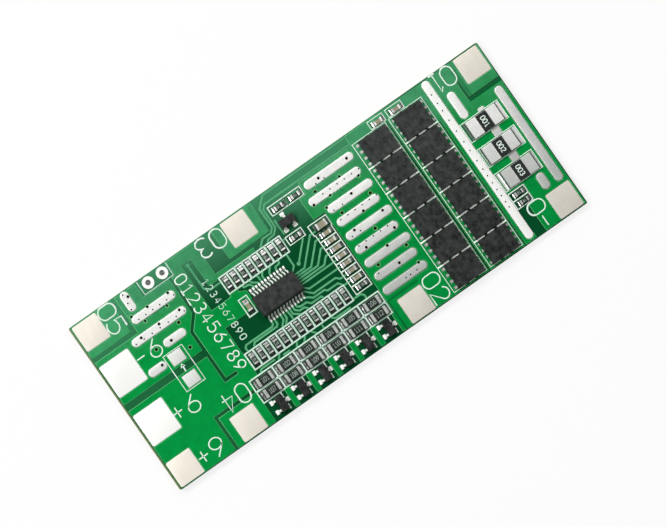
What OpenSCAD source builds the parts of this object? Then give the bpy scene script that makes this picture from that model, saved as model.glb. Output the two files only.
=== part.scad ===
// Battery management board: a bare two-layer circuit board with soldered terminals, a controller,
// twelve power transistors, three current shunts and the balancing parts of each cell.
// Origin: middle of the board's back face. +X runs along the length, +Z out of the component side.

/* [Board] */
// Length of the board
board_l = 88; // [88:0.5:92]
// Width of the board
board_w = 34; // [34:0.5:37]
// Thickness of the laminate
board_t = 1.2; // [0.8:0.1:2]
// Radius of the board's corners
board_corner = 0.3; // [0.1:0.1:1]
// Height of the copper and its green coat above the laminate
copper_h = 0.06; // [0.03:0.01:0.09]
// Bare rim between the copper and the board's edge
copper_rim = 0.25; // [0.15:0.05:0.4]
// Width of the moat between bare metal and the coated copper round it
moat = 0.12; // [0.05:0.01:0.2]
// Width of a signal track
track_w = 0.26; // [0.15:0.01:0.3]

/* [Terminals] */
// Side of a square cell terminal
cell_pad = 5; // [4:0.1:5.2]
// Length of a load terminal along the board
load_pad_l = 6.1; // [5:0.1:6.5]
// Width of a load terminal
load_pad_w = 6.4; // [5:0.1:6.6]
// Radius of the terminals' corners
pad_corner = 0.3; // [0.1:0.1:1]
// Thickness of tinned metal on the board
tin_h = 0.1; // [0.1:0.01:0.15]
// Distance from a terminal to the board's edge
pad_edge = 0.25; // [0.2:0.05:0.5]

/* [Solder bars and holes] */
// Width of a solder bar
bar_w = 1.6; // [1.2:0.1:1.8]
// Height of a solder bar
bar_h = 0.25; // [0.15:0.05:0.5]
// Diameter of a large via
via_d = 0.55; // [0.4:0.05:0.6]
// Diameter of a small via
small_via_d = 0.3; // [0.2:0.05:0.35]
// Hole of a sensor eyelet
eyelet_bore = 1; // [0.8:0.1:1.2]
// Flange of a sensor eyelet
eyelet_flange = 2.2; // [1.8:0.1:2.6]
// Distance between the two sensor eyelets
eyelet_pitch = 3; // [2.8:0.1:3.2]
// Wall of an eyelet's barrel
eyelet_wall = 0.2; // [0.18:0.01:0.3]

/* [Power transistors] */
// Length of a power package, across its lead rows
power_l = 5.75; // [5.4:0.05:5.9]
// Height of a power package
power_h = 1; // [0.8:0.05:1.3]
// Gap between the rows of power packages
power_gap = 0.37; // [0.3:0.01:0.5]
// Distance between the two columns of power packages
power_column = 7.5; // [7.3:0.1:8]
// Distance between the leads of a power package
power_lead_pitch = 1.27; // [1.2:0.01:1.3]
// Width of a power lead
power_lead_w = 0.42; // [0.3:0.02:0.5]
// Thickness of the power lead frame
power_frame_t = 0.25; // [0.15:0.05:0.4]
// How far a source lead stands out of its package
power_lead_out = 0.2; // [0.1:0.05:0.3]

/* [Controller] */
// Length of the controller
chip_l = 8.65; // [8.2:0.05:9]
// Width of the controller's body
chip_w = 3.9; // [3.5:0.1:4.1]
// Height of the controller's body
chip_h = 1.4; // [1.1:0.1:1.8]
// Gap under the controller's body
chip_standoff = 0.1; // [0.05:0.05:0.3]
// Distance between two controller leads
chip_pitch = 0.65; // [0.6:0.01:0.7]
// Width of a controller lead
chip_lead_w = 0.28; // [0.2:0.01:0.32]
// Thickness of the lead metal
lead_t = 0.18; // [0.12:0.01:0.25]
// Width over the tips of the controller's leads
chip_span = 6; // [5.6:0.1:6.3]

/* [Small transistors] */
// Length of a small transistor
sot_l = 2.9; // [2.7:0.1:3]
// Width of a small transistor's body
sot_w = 1.5; // [1.3:0.1:1.6]
// Height of a small transistor's body
sot_h = 0.95; // [0.8:0.05:1.1]
// Width over a small transistor's lead tips
sot_span = 2.6; // [2.5:0.1:2.8]
// Width of a small transistor's lead
sot_lead_w = 0.42; // [0.3:0.02:0.5]
// Distance between its two leads on one side
sot_pitch = 1.9; // [1.7:0.1:2]

/* [Chips] */
// Length of a small chip
small_l = 1.6; // [1.5:0.05:1.7]
// Width of a small chip
small_w = 0.8; // [0.7:0.05:0.9]
// Height of a small chip
small_h = 0.45; // [0.35:0.05:0.6]
// Length of a small chip's metal end
small_end = 0.3; // [0.2:0.05:0.4]
// Length of a balancing resistor
bleed_l = 3.1; // [3:0.05:3.2]
// Width of a balancing resistor
bleed_w = 1.6; // [1.4:0.05:1.7]
// Height of a balancing resistor
bleed_h = 0.55; // [0.45:0.05:0.7]
// Length of a balancing resistor's metal end
bleed_end = 0.5; // [0.4:0.05:0.6]
// Length of the large capacitor
large_l = 2; // [1.9:0.05:2.1]
// Width of the large capacitor
large_w = 1.2; // [1.1:0.05:1.25]
// Height of the large capacitor
large_h = 0.8; // [0.6:0.05:1]

/* [Shunts] */
// Length of a shunt
shunt_l = 6.2; // [6:0.1:6.4]
// Width of a shunt
shunt_w = 3.3; // [3:0.1:3.4]
// Height of a shunt's metal ends
shunt_h = 0.6; // [0.4:0.05:0.9]
// Length of a shunt's metal end
shunt_end = 2; // [1.6:0.1:2.2]
// How far the shunt's black middle stands over its metal ends
shunt_rise = 0.12; // [0.05:0.01:0.2]
// Distance between two shunts
shunt_pitch = 5.25; // [5.2:0.05:5.4]

/* [Hidden] */
$fn = 40;
eps = 0.01;
// Everything is placed from the ends, the long edges or the middle of the board
left = -board_l / 2;
right = board_l / 2;
back = board_w / 2;
front = -board_w / 2;
// Level of the tinned metal, on which every component stands
seat = board_t + tin_h;

// Length and width that the layout is drawn for, and how much longer and wider this board is
drawn_size = [88, 34];
stretch = [board_l / drawn_size[0], board_w / drawn_size[1]];
// A place of the drawn layout on this board
function spot(x, y) = [x * stretch[0], y * stretch[1]];
function up(y) = y * stretch[1];

// Controller and the rows of small chips round it
chip_at = spot(-10.5, 1.15);
cell_pitch = 1.635 * stretch[0];
upper_row = chip_at + spot(-6.1, 6.45);
lower_row = chip_at + spot(-9.95, -6.95);
filter_x = 2.75 * stretch[0];
filter_y = up(4.95);
filter_pitch = up(1.565);
upper_count = 8;
lower_count = 13;
filter_count = 7;

// Balancing resistors and transistors, one column for each cell
cells = 6;
bleed_x = -20.9 * stretch[0];
bleed_pitch = 4.63 * stretch[0];
bleed_rows = [up(-9.65), up(-11.9)];
switch_y = up(-14.75);

// Width of a small chip's pad, and how far each size of chip's pads show beyond its ends
small_pad_w = small_w + 0.1;
small_out = 0.58;
large_out = 0.4;
pads_apart = 0.29;
bleed_out = (bleed_pitch - bleed_l - pads_apart) / 2;
shunt_out = 0.7;
// Share of a chip's height that its solder climbs
climb = 0.6;

// Shunts stand side by side, each a little out of line as its solder drew it
shunt_x = right - 6.8;
shunt_y = up(4.95);
shunt_step = up(shunt_pitch);
shunt_drift = [-0.1, -0.3, 0.1];

// Power block: how far its pads run past the leads' tips and in under the body, its rows, and its place
// between the solder bars and the shunts
source_pad = [0.3, 0.95];
drain_pad = [0.08, 0.5];
power_rows = 6;
block_rim = 1.34;
power_pitch = (board_w - 2 * block_rim) / power_rows;
power_w = power_pitch - power_gap;
block_half = power_column / 2 + power_l / 2 + power_lead_out + source_pad[0];
long_bar_x = shunt_x - shunt_l / 2 - shunt_out - 0.4 - bar_w / 2;
power_x = long_bar_x - bar_w / 2 - 1.275 - block_half;
power_y = up(-0.85) + (power_rows - 1) / 2 * power_pitch;
block_left = power_x - block_half;

// Middles of the terminals
far_x = cell_pad / 2 + pad_edge;
far_y = cell_pad / 2 + pad_edge;
cell5_at = [left + far_x, back - far_y];
plus_at = [left + far_x, front + far_y];
load_minus_at = [left + pad_edge + load_pad_l / 2, up(5.25)];
load_plus_at = [left + pad_edge + load_pad_l / 2, up(-5)];
cell4_at = [-27.55 * stretch[0], front + far_y];
cell3_at = [-9.45 * stretch[0], back - far_y];
cell2_at = [8.75 * stretch[0], front + far_y];
cell1_at = [right - far_x - 0.2, back - far_y];
minus_at = [right - far_x - 0.3, front + far_y];

// The pair of sensor eyelets
eyelet_mid = [left + 17.45, back - 1.35];

// Where a chip stands: [x, y, angle]
upper_chips = [for (i = [0:upper_count - 1]) [upper_row[0] + i * cell_pitch, upper_row[1], 90]];
lower_chips = [for (i = [0:lower_count - 1]) [lower_row[0] + i * cell_pitch, lower_row[1], 90]];
filter_chips = [for (i = [0:filter_count - 1]) [filter_x, filter_y - i * filter_pitch, 0]];
large_chip = [filter_x, filter_y + up(1.7), 0];
loose_resistors = [
    [filter_x, filter_y - filter_count * filter_pitch, 0],
    concat(spot(-1.6, 13.4), 0),
    concat(spot(1.95, 13.4), 0),
    concat(spot(-2, 7.5), 0),
    [shunt_x - 2.3, up(-8.65), 0],
    [shunt_x - 2.3, up(-10.3), 0]
];
loose_capacitors = [
    [chip_at[0] - 5.45, chip_at[1] + 1.15, 90],
    [power_x - 1.5, back - 1.4, 0],
    [power_x + 2.4, back - 1.4, 0]
];
bleed_chips = [for (row = bleed_rows, i = [0:cells - 1]) [bleed_x + i * bleed_pitch, row, 0]];
switches = [for (i = [0:cells - 1]) [bleed_x + i * bleed_pitch, switch_y, 0]];
driver = concat(spot(-1.8, 10.6), 90);

// Solder bars, each given by the middles of its two round ends
left_bars = [
    [[left + 11.15, up(13.8)], [left + 11.15, up(16.05)]],
    [[left + 10.5, up(11.6)], [left + 18, up(11.6)]],
    [[left + 8.2, up(8.3)], [left + 18, up(8.3)]],
    [[left + 12.8, up(5.2)], [left + 15.8, up(5.2)]],
    [[left + 7.6, up(2.4)], [left + 9.7, up(2.4)]]
];
// The right bars run from the filter column to the power block, each stopping a little short of them
bar_pitch = up(2.85);
bar_top = up(13.5);
field_start = filter_x + small_l / 2 + small_out + 1.17 + bar_w / 2;
field_end = block_left - 0.975 - bar_w / 2;
field_l = field_end - field_start;
bar_starts = [-1.1, -2.1, -0.1, 0, -0.1, -0.1, -0.1, 0, -0.2];
bar_ends = [-0.3, -0.7, -0.2, -0.7, 0, -0.7, -0.1, -0.7, -0.5];
right_bars = [for (i = [0:len(bar_starts) - 1])
    let (y = bar_top - i * bar_pitch) [[field_start + bar_starts[i], y], [field_end + bar_ends[i], y]]];
long_bar_ends = [[long_bar_x, back - 1.1], [long_bar_x, front + 1.4]];
short_bar_ends = [[shunt_x - 2.35, up(11.8)], [shunt_x - 2.35, up(8)]];
edge_bar_ends = [[right - 1.6, up(7.9)], [right - 1.6, minus_at[1] + cell_pad / 2 + bar_w / 2 + 0.65]];
stub_bar_ends = [[right - 4.3, up(-8.6)], [right - 4.3, minus_at[1] + cell_pad / 2 + bar_w / 2 + 0.75]];

// Large vias: those of the left bars, then the staggered field of the right bars
left_vias = [for (v = [
    [11.6, 15.65], [10.1, 12.45], [13.4, 12.3], [17.75, 12.25], [11.7, 10.45], [16.4, 10.45], [9.4, 8.5],
    [13.35, 8.7], [17.7, 8.7], [16.4, 6.95], [13.5, 5.15], [9.7, 2.55], [10.45, 5.35], [15.55, 2.3]
]) [left + v[0], up(v[1])]];
via_rows = 6;
via_pitch = up(3.66);
// Columns of vias, as shares of the field's length
via_columns = [0.131, 0.5375, 0.894];
right_vias = concat(
    [for (i = [0:via_rows], c = [0, 2]) if (c > 0 || i < via_rows)
        [field_start + via_columns[c] * field_l, bar_top - i * via_pitch]],
    [for (i = [0:via_rows - 1]) [field_start + via_columns[1] * field_l, bar_top - (i + 0.5) * via_pitch]],
    [[field_start - 0.75, up(11.85)], [field_start - 2.3, up(10.1)], [field_start - 0.7, up(8.45)]]
);
// Small vias stand in lines along the bars
left_small_vias = concat(
    [for (i = [0:5]) [left + 10.9 + i * 1.5, up(11.35)]],
    [for (i = [0:6]) [left + 8 + i * 1.72, up(8.05)]],
    [for (p = [[11, 16.4], [10.9, 14.7], [10.8, 13.5]]) [left + p[0], up(p[1])]]
);
right_small_vias = concat(
    [for (y = [10.8, 5.35, -0.2], i = [0:5]) [field_start + 0.1 + i * field_l / 5.16, up(y)]],
    [for (y = [12.95, 7.35, 1.8], i = [0:1]) [field_start + 0.1 + i * field_l / 4.44, up(y)]],
    [for (p = [[0.025, -6.05], [0.47, -9.4], [0.594, -9.4], [0.769, -9.4]])
        [field_start + p[0] * field_l, up(p[1])]]
);
long_small_vias = [for (y = [14, 12.2, 10.65, 8.65, 6.35, 4.1, 2.25, 0.1, -1.7, -3.1, -4.6, -6, -7.3, -8.6,
    -9.7]) [long_bar_x - 0.15, up(y)]];
big_vias = concat(left_vias, right_vias);
small_vias = concat(left_small_vias, right_small_vias, long_small_vias);

// ---- outlines and profiles ----

function unit(v) = v / norm(v);
function across(a, b) = let (d = unit(b - a)) [-d[1], d[0]];
// Sideways direction at a point of a route, lengthened so that the ribbon keeps its width round a bend
function mitre(p, i) =
    i == 0 ? across(p[0], p[1])
    : i == len(p) - 1 ? across(p[i - 1], p[i])
    : let (m = across(p[i - 1], p[i]) + across(p[i], p[i + 1])) m * 2 / (m * m);
// Outline of a strip of width w along a route
function ribbon(p, w) = concat(
    [for (i = [0:len(p) - 1]) p[i] - mitre(p, i) * w / 2],
    [for (i = [len(p) - 1:-1:0]) p[i] + mitre(p, i) * w / 2]
);
function arc(c, r, a0, a1, n = 4) =
    [for (i = [0:n]) let (a = a0 + (a1 - a0) * i / n) c + r * [cos(a), sin(a)]];

module rounded(l, w, r) {
    square([l - 2 * r, w], center = true);
    square([l, w - 2 * r], center = true);
    for (x = [-1, 1], y = [-1, 1]) translate([x * (l / 2 - r), y * (w / 2 - r)]) circle(r);
}

// Strip with round ends from a to b
module slot(a, b, w) {
    polygon(ribbon([a, b], w));
    for (p = [a, b]) translate(p) circle(d = w);
}

module at(place) translate([place[0], place[1]]) rotate(place[2]) children();

module via_holes() {
    for (p = big_vias) translate(p) circle(d = via_d, $fn = 24);
    for (p = small_vias) translate(p) circle(d = small_via_d, $fn = 16);
}

// Half of a moulded body's side view is widest at its parting band and drafted above and below it
function moulded_profile(l, h, low, high, draft) = [
    [-l / 2 + draft * low, 0], [l / 2 - draft * low, 0], [l / 2, low], [l / 2, high],
    [l / 2 - draft * (h - high), h], [-l / 2 + draft * (h - high), h], [-l / 2, high], [-l / 2, low]
];
module moulded(l, w, h, low, high, draft = 0.14) {
    intersection() {
        rotate([90, 0, 0]) linear_extrude(w, center = true)
            polygon(moulded_profile(l, h, low, high, draft));
        rotate([90, 0, 90]) linear_extrude(l, center = true)
            polygon(moulded_profile(w, h, low, high, draft));
    }
}

// ---- board ----

module board() {
    color("darkgreen") difference() {
        linear_extrude(board_t) difference() {
            rounded(board_l, board_w, board_corner);
            via_holes();
        }
        for (x = [-0.5, 0.5]) translate([eyelet_mid[0] + x * eyelet_pitch, eyelet_mid[1], -eps]) {
            cylinder(d = eyelet_bore + 2 * eyelet_wall, h = board_t + 2 * eps);
            cylinder(d = eyelet_flange, h = tin_h + eps);
        }
    }
}

// Stretches of bare laminate between the copper areas
dark_strips = [
    [[left - 1, up(9.95)], [left + 9, up(9.95)], [left + 9, back + 1]],
    [[left - 1, 0], [left + 17.35, 0]],
    [[left + 19.9, up(-5.9)], [left + 17.35, up(-5.9)], [left + 17.35, up(4.3)], [left + 19.6, up(6.9)],
     [left + 19.6, up(14.1)]],
    [[cell4_at[0] + 4.45, front - 1], [cell4_at[0] + 4.45, up(-10.3)], [cell4_at[0] - 4.25, up(-10.3)],
     [cell4_at[0] - 4.25, front - 1]],
    [[power_x - 0.15, front - 1], [power_x - 0.15, back - 2.2]],
    [[power_x + power_column + 0.15, front - 1], [power_x + power_column + 0.15, up(9.5)]],
    [[shunt_x, up(13.3)], [shunt_x, up(9.8)], [right + 1, up(9.8)]]
];
dark_strip_w = [1, 1.4, 0.7, 0.7, 0.4, 0.3, 0.5];
dark_windows = [
    // Round the sensor eyelets
    [for (p = [[-3.75, -0.55 - eyelet_flange / 2], [3.15, -0.55 - eyelet_flange / 2], [3.15, 3], [-3.75, 3]])
        eyelet_mid + p],
    // Round the controller and its rows, up to the small parts by the long edge
    [for (p = [[-23, -18], [-23, -8.3], [-21.5, -8.3], [-21.5, 1.5], [-14.6, 1.5], [-14.6, 4.7], [-15.8, 5.3],
     [-15.8, 5.9], [-17.1, 5.9], [-17.6, 5.3], [-21.7, 5.3], [-21.7, 14.8], [-19.5, 14.8], [-19.5, 9.1],
     [-17.5, 9.1], [-17.5, 9.5], [-9.3, 9.5], [-9.3, 10.1], [-17.5, 10.1], [-17.5, 18],
     [-13.8, 18], [-13.8, 10.9], [-5.3, 10.9], [-5.3, 18], [15.2, 18], [15.2, 14.8],
     [3.8, 14.8], [3.8, 12.4], [2.3, 12.4], [2.3, 8.1], [4.7, 8.1], [4.7, -18]]) spot(p[0], p[1])],
    // Under the pair of sense resistors
    [[shunt_x - 4.1, front - 1], [shunt_x - 2, front - 1], [shunt_x - 2, up(-11.4)],
     [shunt_x - 0.6, up(-11.4)], [shunt_x - 0.6, up(-7.7)], [shunt_x - 4.1, up(-7.7)]]
];

// Gap between an island and the solder of the transistors beside it
island_gap = 0.165;

module terminal_plan(grow = 0) {
    for (p = [cell5_at, plus_at, cell4_at, cell3_at, cell2_at, cell1_at, minus_at])
        translate(p) rounded(cell_pad + 2 * grow, cell_pad + 2 * grow, pad_corner);
    for (p = [load_minus_at, load_plus_at])
        translate(p) rounded(load_pad_l + 2 * grow, load_pad_w + 2 * grow, pad_corner);
}

all_bars = concat(left_bars, right_bars, [long_bar_ends, short_bar_ends, edge_bar_ends, stub_bar_ends]);

module bars_plan(grow = 0) {
    for (b = all_bars) slot(b[0], b[1], bar_w + 2 * grow);
}

module copper_areas() {
    color("green") translate([0, 0, board_t]) linear_extrude(copper_h) {
        difference() {
            square([board_l - 2 * copper_rim, board_w - 2 * copper_rim], center = true);
            for (i = [0:len(dark_strips) - 1]) polygon(ribbon(dark_strips[i], dark_strip_w[i]));
            for (w = dark_windows) polygon(w);
            terminal_plan(moat);
            bars_plan(moat);
            bare_plan(moat);
            power_pads_plan(moat);
            shunt_pads_plan(moat);
            chip_pads_plan(moat);
            via_holes();
        }
        // Islands that carry the balancing current between the transistors
        for (s = switches) translate([s[0] + bleed_pitch / 2, front + 2.1])
            square([bleed_pitch - sot_span - 2 * lead_out - 2 * island_gap, 3.6], center = true);
    }
}

// Coated tracks: each runs from its start through places of the drawn layout to its end
lead_x = [for (i = [0:11]) chip_at[0] + (i - 5.5) * chip_pitch];
upper_y = upper_row[1] - small_l / 2 - small_out;
lower_y = lower_row[1] + small_l / 2 + small_out;
top_y = chip_at[1] + chip_span / 2;
bottom_y = chip_at[1] - chip_span / 2;
column_x = filter_x - small_l / 2 - small_out;
function above(i) = [lead_x[i], top_y];
function below(i) = [lead_x[i], bottom_y];
function upper_pad(i) = [upper_chips[i][0], upper_y];
function lower_pad(i) = [lower_chips[i][0], lower_y];
function column(y) = [column_x, up(y)];
routes = [
    // From the upper leads to the row above
    [upper_pad(1), [[-14.6, 5.4], [-13.6, 5.3]], above(2)],
    [upper_pad(2), [[-13, 5.3], [-12.1, 4.7]], above(3)],
    [upper_pad(3), [[-11.5, 5.4]], above(4)],
    [upper_pad(4), [[-10.85, 5.2]], above(5)],
    [upper_pad(5), [[-9.5, 4.9]], above(7)],
    [upper_pad(6), [[-7.1, 5.3], [-8, 5.15], [-8.2, 4.7]], above(9)],
    [upper_pad(7), [[-5.2, 3.5]], spot(-5.9, 2.8)],
    // From the lower leads to the row below
    [below(0), [[-14.08, -2.7], [-14.5, -3], [-20.1, -3], [-20.5, -3.4]], lower_pad(0)],
    [below(1), [[-13.43, -3.1], [-13.8, -3.45], [-18.6, -3.45], [-19, -3.85]], lower_pad(1)],
    [below(3), [[-12.13, -3.1], [-12.9, -3.9]], lower_pad(5) - [0.45, 0]],
    [below(4), [[-11.48, -3.2], [-12.1, -3.9]], lower_pad(5) + [0.3, 0]],
    [below(5), [[-10.64, -3.2]], lower_pad(6)],
    [below(6), [[-10.17, -3.25], [-9.005, -4.1]], lower_pad(7)],
    [below(7), [[-9.52, -2.9], [-8.9, -3.45], [-7.9, -3.45], [-7.37, -4]], lower_pad(8)],
    [below(8), [[-8.88, -2.6], [-8.4, -2.95], [-7.1, -2.95], [-6.4, -3.6], [-4.3, -3.6], [-4.1, -4]],
     lower_pad(10)],
    [below(10), [[-6.3, -2.4], [-5.6, -3], [-3.2, -3], [-2.8, -3.4], [-0.6, -3.4], [0.1, -4.3]],
     column(-4.3)],
    // From the controller's right end to the filter column
    [spot(-6, 2.1), [[-3.9, 2.1], [0.2, 6.2]], column(6.2)],
    [spot(-6, 1.6), [[-2.8, 1.6], [0.4, 4.8]], column(4.8)],
    [spot(-6, 1.1), [[-1.7, 1.1], [0.4, 3.2]], column(3.2)],
    [spot(-6, 0.55), [[-0.7, 0.55], [0.4, 1.65]], column(1.65)],
    [spot(-6, 0), [], column(0)],
    [spot(-6, -0.6), [[-5.3, -1.3]], column(-1.3)],
    [spot(-6.4, -1.1), [[-5.1, -2.4], [-0.4, -2.4], [0.2, -3]], column(-3)],
    [spot(-4.3, 3.3), [], spot(-1.1, 6.5)],
    // Along the long edge to the power block, and down to the upper row
    [spot(15, 16.6), [[-2.7, 16.6], [-4.5, 14.9], [-4.5, 11.1], [-5.2, 10.4], [-7.1, 10.4]], spot(-8.3, 9.3)],
    [spot(15, 15.15), [[-3.3, 15.15], [-4, 14.5], [-4, 10.8], [-5, 9.85], [-6.3, 9.75]], spot(-6.8, 9.3)],
    [spot(-3.45, 11.9), [], spot(-3.45, 8.9)],
    [spot(-20.6, 14.1), [[-20.6, 9.2], [-19.8, 8.45]], spot(-17.5, 8.45)],
    [spot(-4.3, 8.2), [], spot(-3.6, 8.2)],
    // Between the lower row and the balancing resistors
    [spot(-20.8, -8.4), [[-20.3, -7.9]], spot(-17.4, -7.9)],
    [spot(-16.9, -8.4), [], spot(-16.2, -7.6)],
    [spot(-15.7, -8.1), [], spot(-14.3, -8.1)],
    [spot(-13, -8.4), [], spot(-12.4, -7.6)],
    [spot(-11.4, -8.4), [], spot(-10.7, -7.6)],
    [spot(-9.3, -7.6), [], spot(-8.6, -8.4)],
    [spot(-7.1, -7.6), [], spot(-7.1, -8.4)],
    [spot(-5, -7.6), [[-4.4, -8.1]], spot(-1.2, -8.1)],
    [spot(0.2, -7.2), [[1.6, -7.2], [2.1, -7.7]], spot(2.1, -8.5)]
];
tracks = [for (r = routes) concat([r[0]], [for (p = r[1]) spot(p[0], p[1])], [r[2]])];
track_ends = [spot(-4.3, 3.3), spot(-20.6, 14.1)];

module signal_tracks() {
    color("mediumseagreen") translate([0, 0, board_t]) {
        linear_extrude(copper_h) difference() {
            for (t = tracks) polygon(ribbon(t, track_w));
            chip_pads_plan();
            lead_pads_plan();
        }
        for (p = track_ends) translate(p) cylinder(d = 2.4 * track_w, h = copper_h);
    }
}

// ---- terminals, eyelets and solder bars ----

module terminal(place, l = cell_pad, w = cell_pad) {
    color("antiquewhite") translate([place[0], place[1], board_t]) linear_extrude(tin_h)
        rounded(l, w, pad_corner);
}

module sensor_eyelets() {
    bore = eyelet_bore / 2;
    wall = bore + eyelet_wall;
    flange = eyelet_flange / 2;
    for (x = [-0.5, 0.5]) color("gainsboro")
        translate([eyelet_mid[0] + x * eyelet_pitch, eyelet_mid[1]]) rotate_extrude()
            polygon([[bore, 0], [flange, 0], [flange, tin_h], [wall, tin_h],
                     [wall, board_t], [flange, board_t], [flange, seat], [bore, seat]]);
}

jumper_at = [left + 12.65, 0];
jumper_pad = [2.7, 2.3];
jumper_gap = 2.2;
sense_pad_w = 1.6;
sense_gap = 0.08;
function shunt_at(i) = [shunt_x + shunt_drift[i], shunt_y - i * shunt_step, 0];

// Tinned pads on which nothing is mounted: an open jumper, and the sense pads between the shunts
module bare_plan(grow = 0) {
    for (y = [-1, 1]) translate(jumper_at + [0, y * (jumper_gap + jumper_pad[1]) / 2])
        square(jumper_pad + [2 * grow, 2 * grow], center = true);
    for (i = [0, 1]) translate([shunt_x + 0.75, shunt_y - (i + 0.5) * shunt_step])
        square([sense_pad_w + 2 * grow, shunt_step - shunt_w - 2 * sense_gap], center = true);
    translate([shunt_x, shunt_y + shunt_w / 2 + 0.45]) slot([0.4, 0], [1, 0], 0.7 + 2 * grow);
}

module bare_pads() {
    color("gainsboro") translate([0, 0, board_t]) linear_extrude(tin_h) bare_plan();
}

module solder_bar(ends) {
    linear_extrude(bar_h) difference() {
        slot(ends[0], ends[1], bar_w);
        via_holes();
    }
}
module solder_bars(bars) {
    color("whitesmoke") translate([0, 0, board_t]) for (b = bars) solder_bar(b);
}

// ---- power transistors ----

power_places = [for (side = [-1, 1], i = [0:power_rows - 1])
    [power_x + side * power_column / 2, power_y - i * power_pitch, side < 0 ? 0 : 180]];
power_leads = [for (i = [0:3]) (i - 1.5) * power_lead_pitch];
drain_out = 0.12;
source_in = 0.55;
drain_slab = [3.4, 3.9];
slab_in = 0.35;
pad_side = 0.04;
stub_w = 0.5;
stub_gap = 0.04;

// Source comb and gate finger stand on one side, the drain slab with its four tips on the other
module source_plan() {
    edge = -power_l / 2;
    for (y = power_leads) translate([edge - power_lead_out, y - power_lead_w / 2])
        square([power_lead_out + source_in, power_lead_w]);
    translate([edge + source_in / 2, power_leads[1] - power_lead_w / 2])
        square([source_in / 2, 2 * power_lead_pitch + power_lead_w]);
}
module drain_plan() {
    slab_end = power_l / 2 - slab_in;
    translate([slab_end - drain_slab[0], -drain_slab[1] / 2]) square(drain_slab);
    for (y = power_leads) translate([slab_end - eps, y - power_lead_w / 2])
        square([slab_in + drain_out + eps, power_lead_w]);
}
module power_frame() {
    linear_extrude(power_frame_t) {
        source_plan();
        drain_plan();
    }
}

module power_body() {
    stub = (power_pitch - power_w) / 2 - stub_gap;
    difference() {
        union() {
            moulded(power_l, power_w, power_h, 0.05, power_frame_t + 0.1);
            // Stubs of the tie bars that held the package in its strip
            for (x = [-1, 1], y = [-1, 1])
                translate([x - stub_w / 2, y > 0 ? power_w / 2 - eps : -power_w / 2 - stub, 0.05])
                    cube([stub_w, stub + eps, power_frame_t]);
        }
        translate([0, 0, -eps]) linear_extrude(power_frame_t + eps) {
            source_plan();
            drain_plan();
        }
        // Ejector mark and first-pin mark
        translate([1.5, 0, power_h - 0.04]) cylinder(r = 0.55, h = 1);
        translate([0.9 - power_l / 2, power_w / 2 - 0.95, power_h - 0.06]) cylinder(r = 0.3, h = 1);
    }
}

module power_transistor(i) {
    color("#2d302e") translate([0, 0, seat]) at(power_places[i]) power_body();
}
module power_frames(first) {
    color("silver") translate([0, 0, seat])
        for (i = [first:first + power_rows - 1]) at(power_places[i]) power_frame();
}

// Solder under one package: a pad for each source lead and one for the slab, with its tips
module power_pad_plan(grow = 0) {
    w = power_lead_w + 2 * pad_side + 2 * grow;
    tip = power_lead_out + source_pad[0];
    for (y = power_leads) {
        translate([-power_l / 2 - tip - grow, y - w / 2]) square([tip + source_pad[1] + 2 * grow, w]);
        translate([power_l / 2 - drain_pad[1] - grow, y - w / 2])
            square([drain_pad[1] + drain_out + drain_pad[0] + 2 * grow, w]);
    }
    translate([power_l / 2 - slab_in - drain_slab[0] / 2, 0])
        square([drain_slab[0] + 2 * grow, drain_slab[1] + 2 * grow], center = true);
}
module power_pads_plan(grow = 0) {
    for (p = power_places) at(p) power_pad_plan(grow);
}
module power_solder() {
    color("lightgray") translate([0, 0, board_t]) linear_extrude(tin_h) power_pads_plan();
}

// ---- moulded packages with bent leads ----

// Share of a lead's reach that lies flat on its pad, and how far the pad runs on past the tip
foot = 0.35;
lead_out = 0.4;
chip_pad_w = chip_lead_w + 0.06;
sot_pad_w = sot_lead_w + 0.4;

// Middle line of a lead's side view: shoulder, bend down, bend out to the foot
function lead_path(reach, z) = let (r = 0.22 * reach, heel = (1 - foot) * reach, t = lead_t / 2) concat(
    [[0, z]],
    arc([heel - 2.25 * r, z - r], r, 90, 8),
    arc([heel, t + r], r, 188, 270),
    [[reach, t]]
);
module bent_lead(reach, z, w) {
    rotate([90, 0, 0]) linear_extrude(w, center = true) polygon(ribbon(lead_path(reach, z), lead_t));
}

leads_per_side = 12;
chip_reach = (chip_span - chip_w) / 2;
chip_leads = [for (side = [-1, 1], i = [0:leads_per_side - 1])
    [chip_at[0] + (i - (leads_per_side - 1) / 2) * chip_pitch, chip_at[1] + side * chip_w / 2, side * 90]];

module controller() {
    middle = chip_h / 2;
    color("#373737") translate([chip_at[0], chip_at[1], seat + chip_standoff]) difference() {
        moulded(chip_l, chip_w, chip_h, middle - lead_t / 2, middle + lead_t / 2);
        translate([0.9 - chip_l / 2, 0.9 - chip_w / 2, chip_h - 0.06]) cylinder(r = 0.35, h = 1);
    }
}
module controller_leads() {
    color("silver") translate([0, 0, seat])
        for (p = chip_leads) at(p) bent_lead(chip_reach, chip_standoff + chip_h / 2, chip_lead_w);
}

sot_standoff = 0.05;
sot_reach = (sot_span - sot_w) / 2;
// Leads of a small transistor, in its own frame: two on one long side, one on the other
sot_leads = [[-sot_w / 2, -sot_pitch / 2, 180], [-sot_w / 2, sot_pitch / 2, 180], [sot_w / 2, 0, 0]];

module sot_body(place) {
    middle = sot_h / 2;
    color("#2f3230") translate([0, 0, seat + sot_standoff]) at(place)
        moulded(sot_w, sot_l, sot_h, middle - lead_t / 2, middle + lead_t / 2);
}
module transistor_leads() {
    color("silver") translate([0, 0, seat])
        for (s = concat(switches, [driver]), p = sot_leads)
            at(s) at(p) bent_lead(sot_reach, sot_standoff + sot_h / 2, sot_lead_w);
}

// ---- solder joints ----

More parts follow.
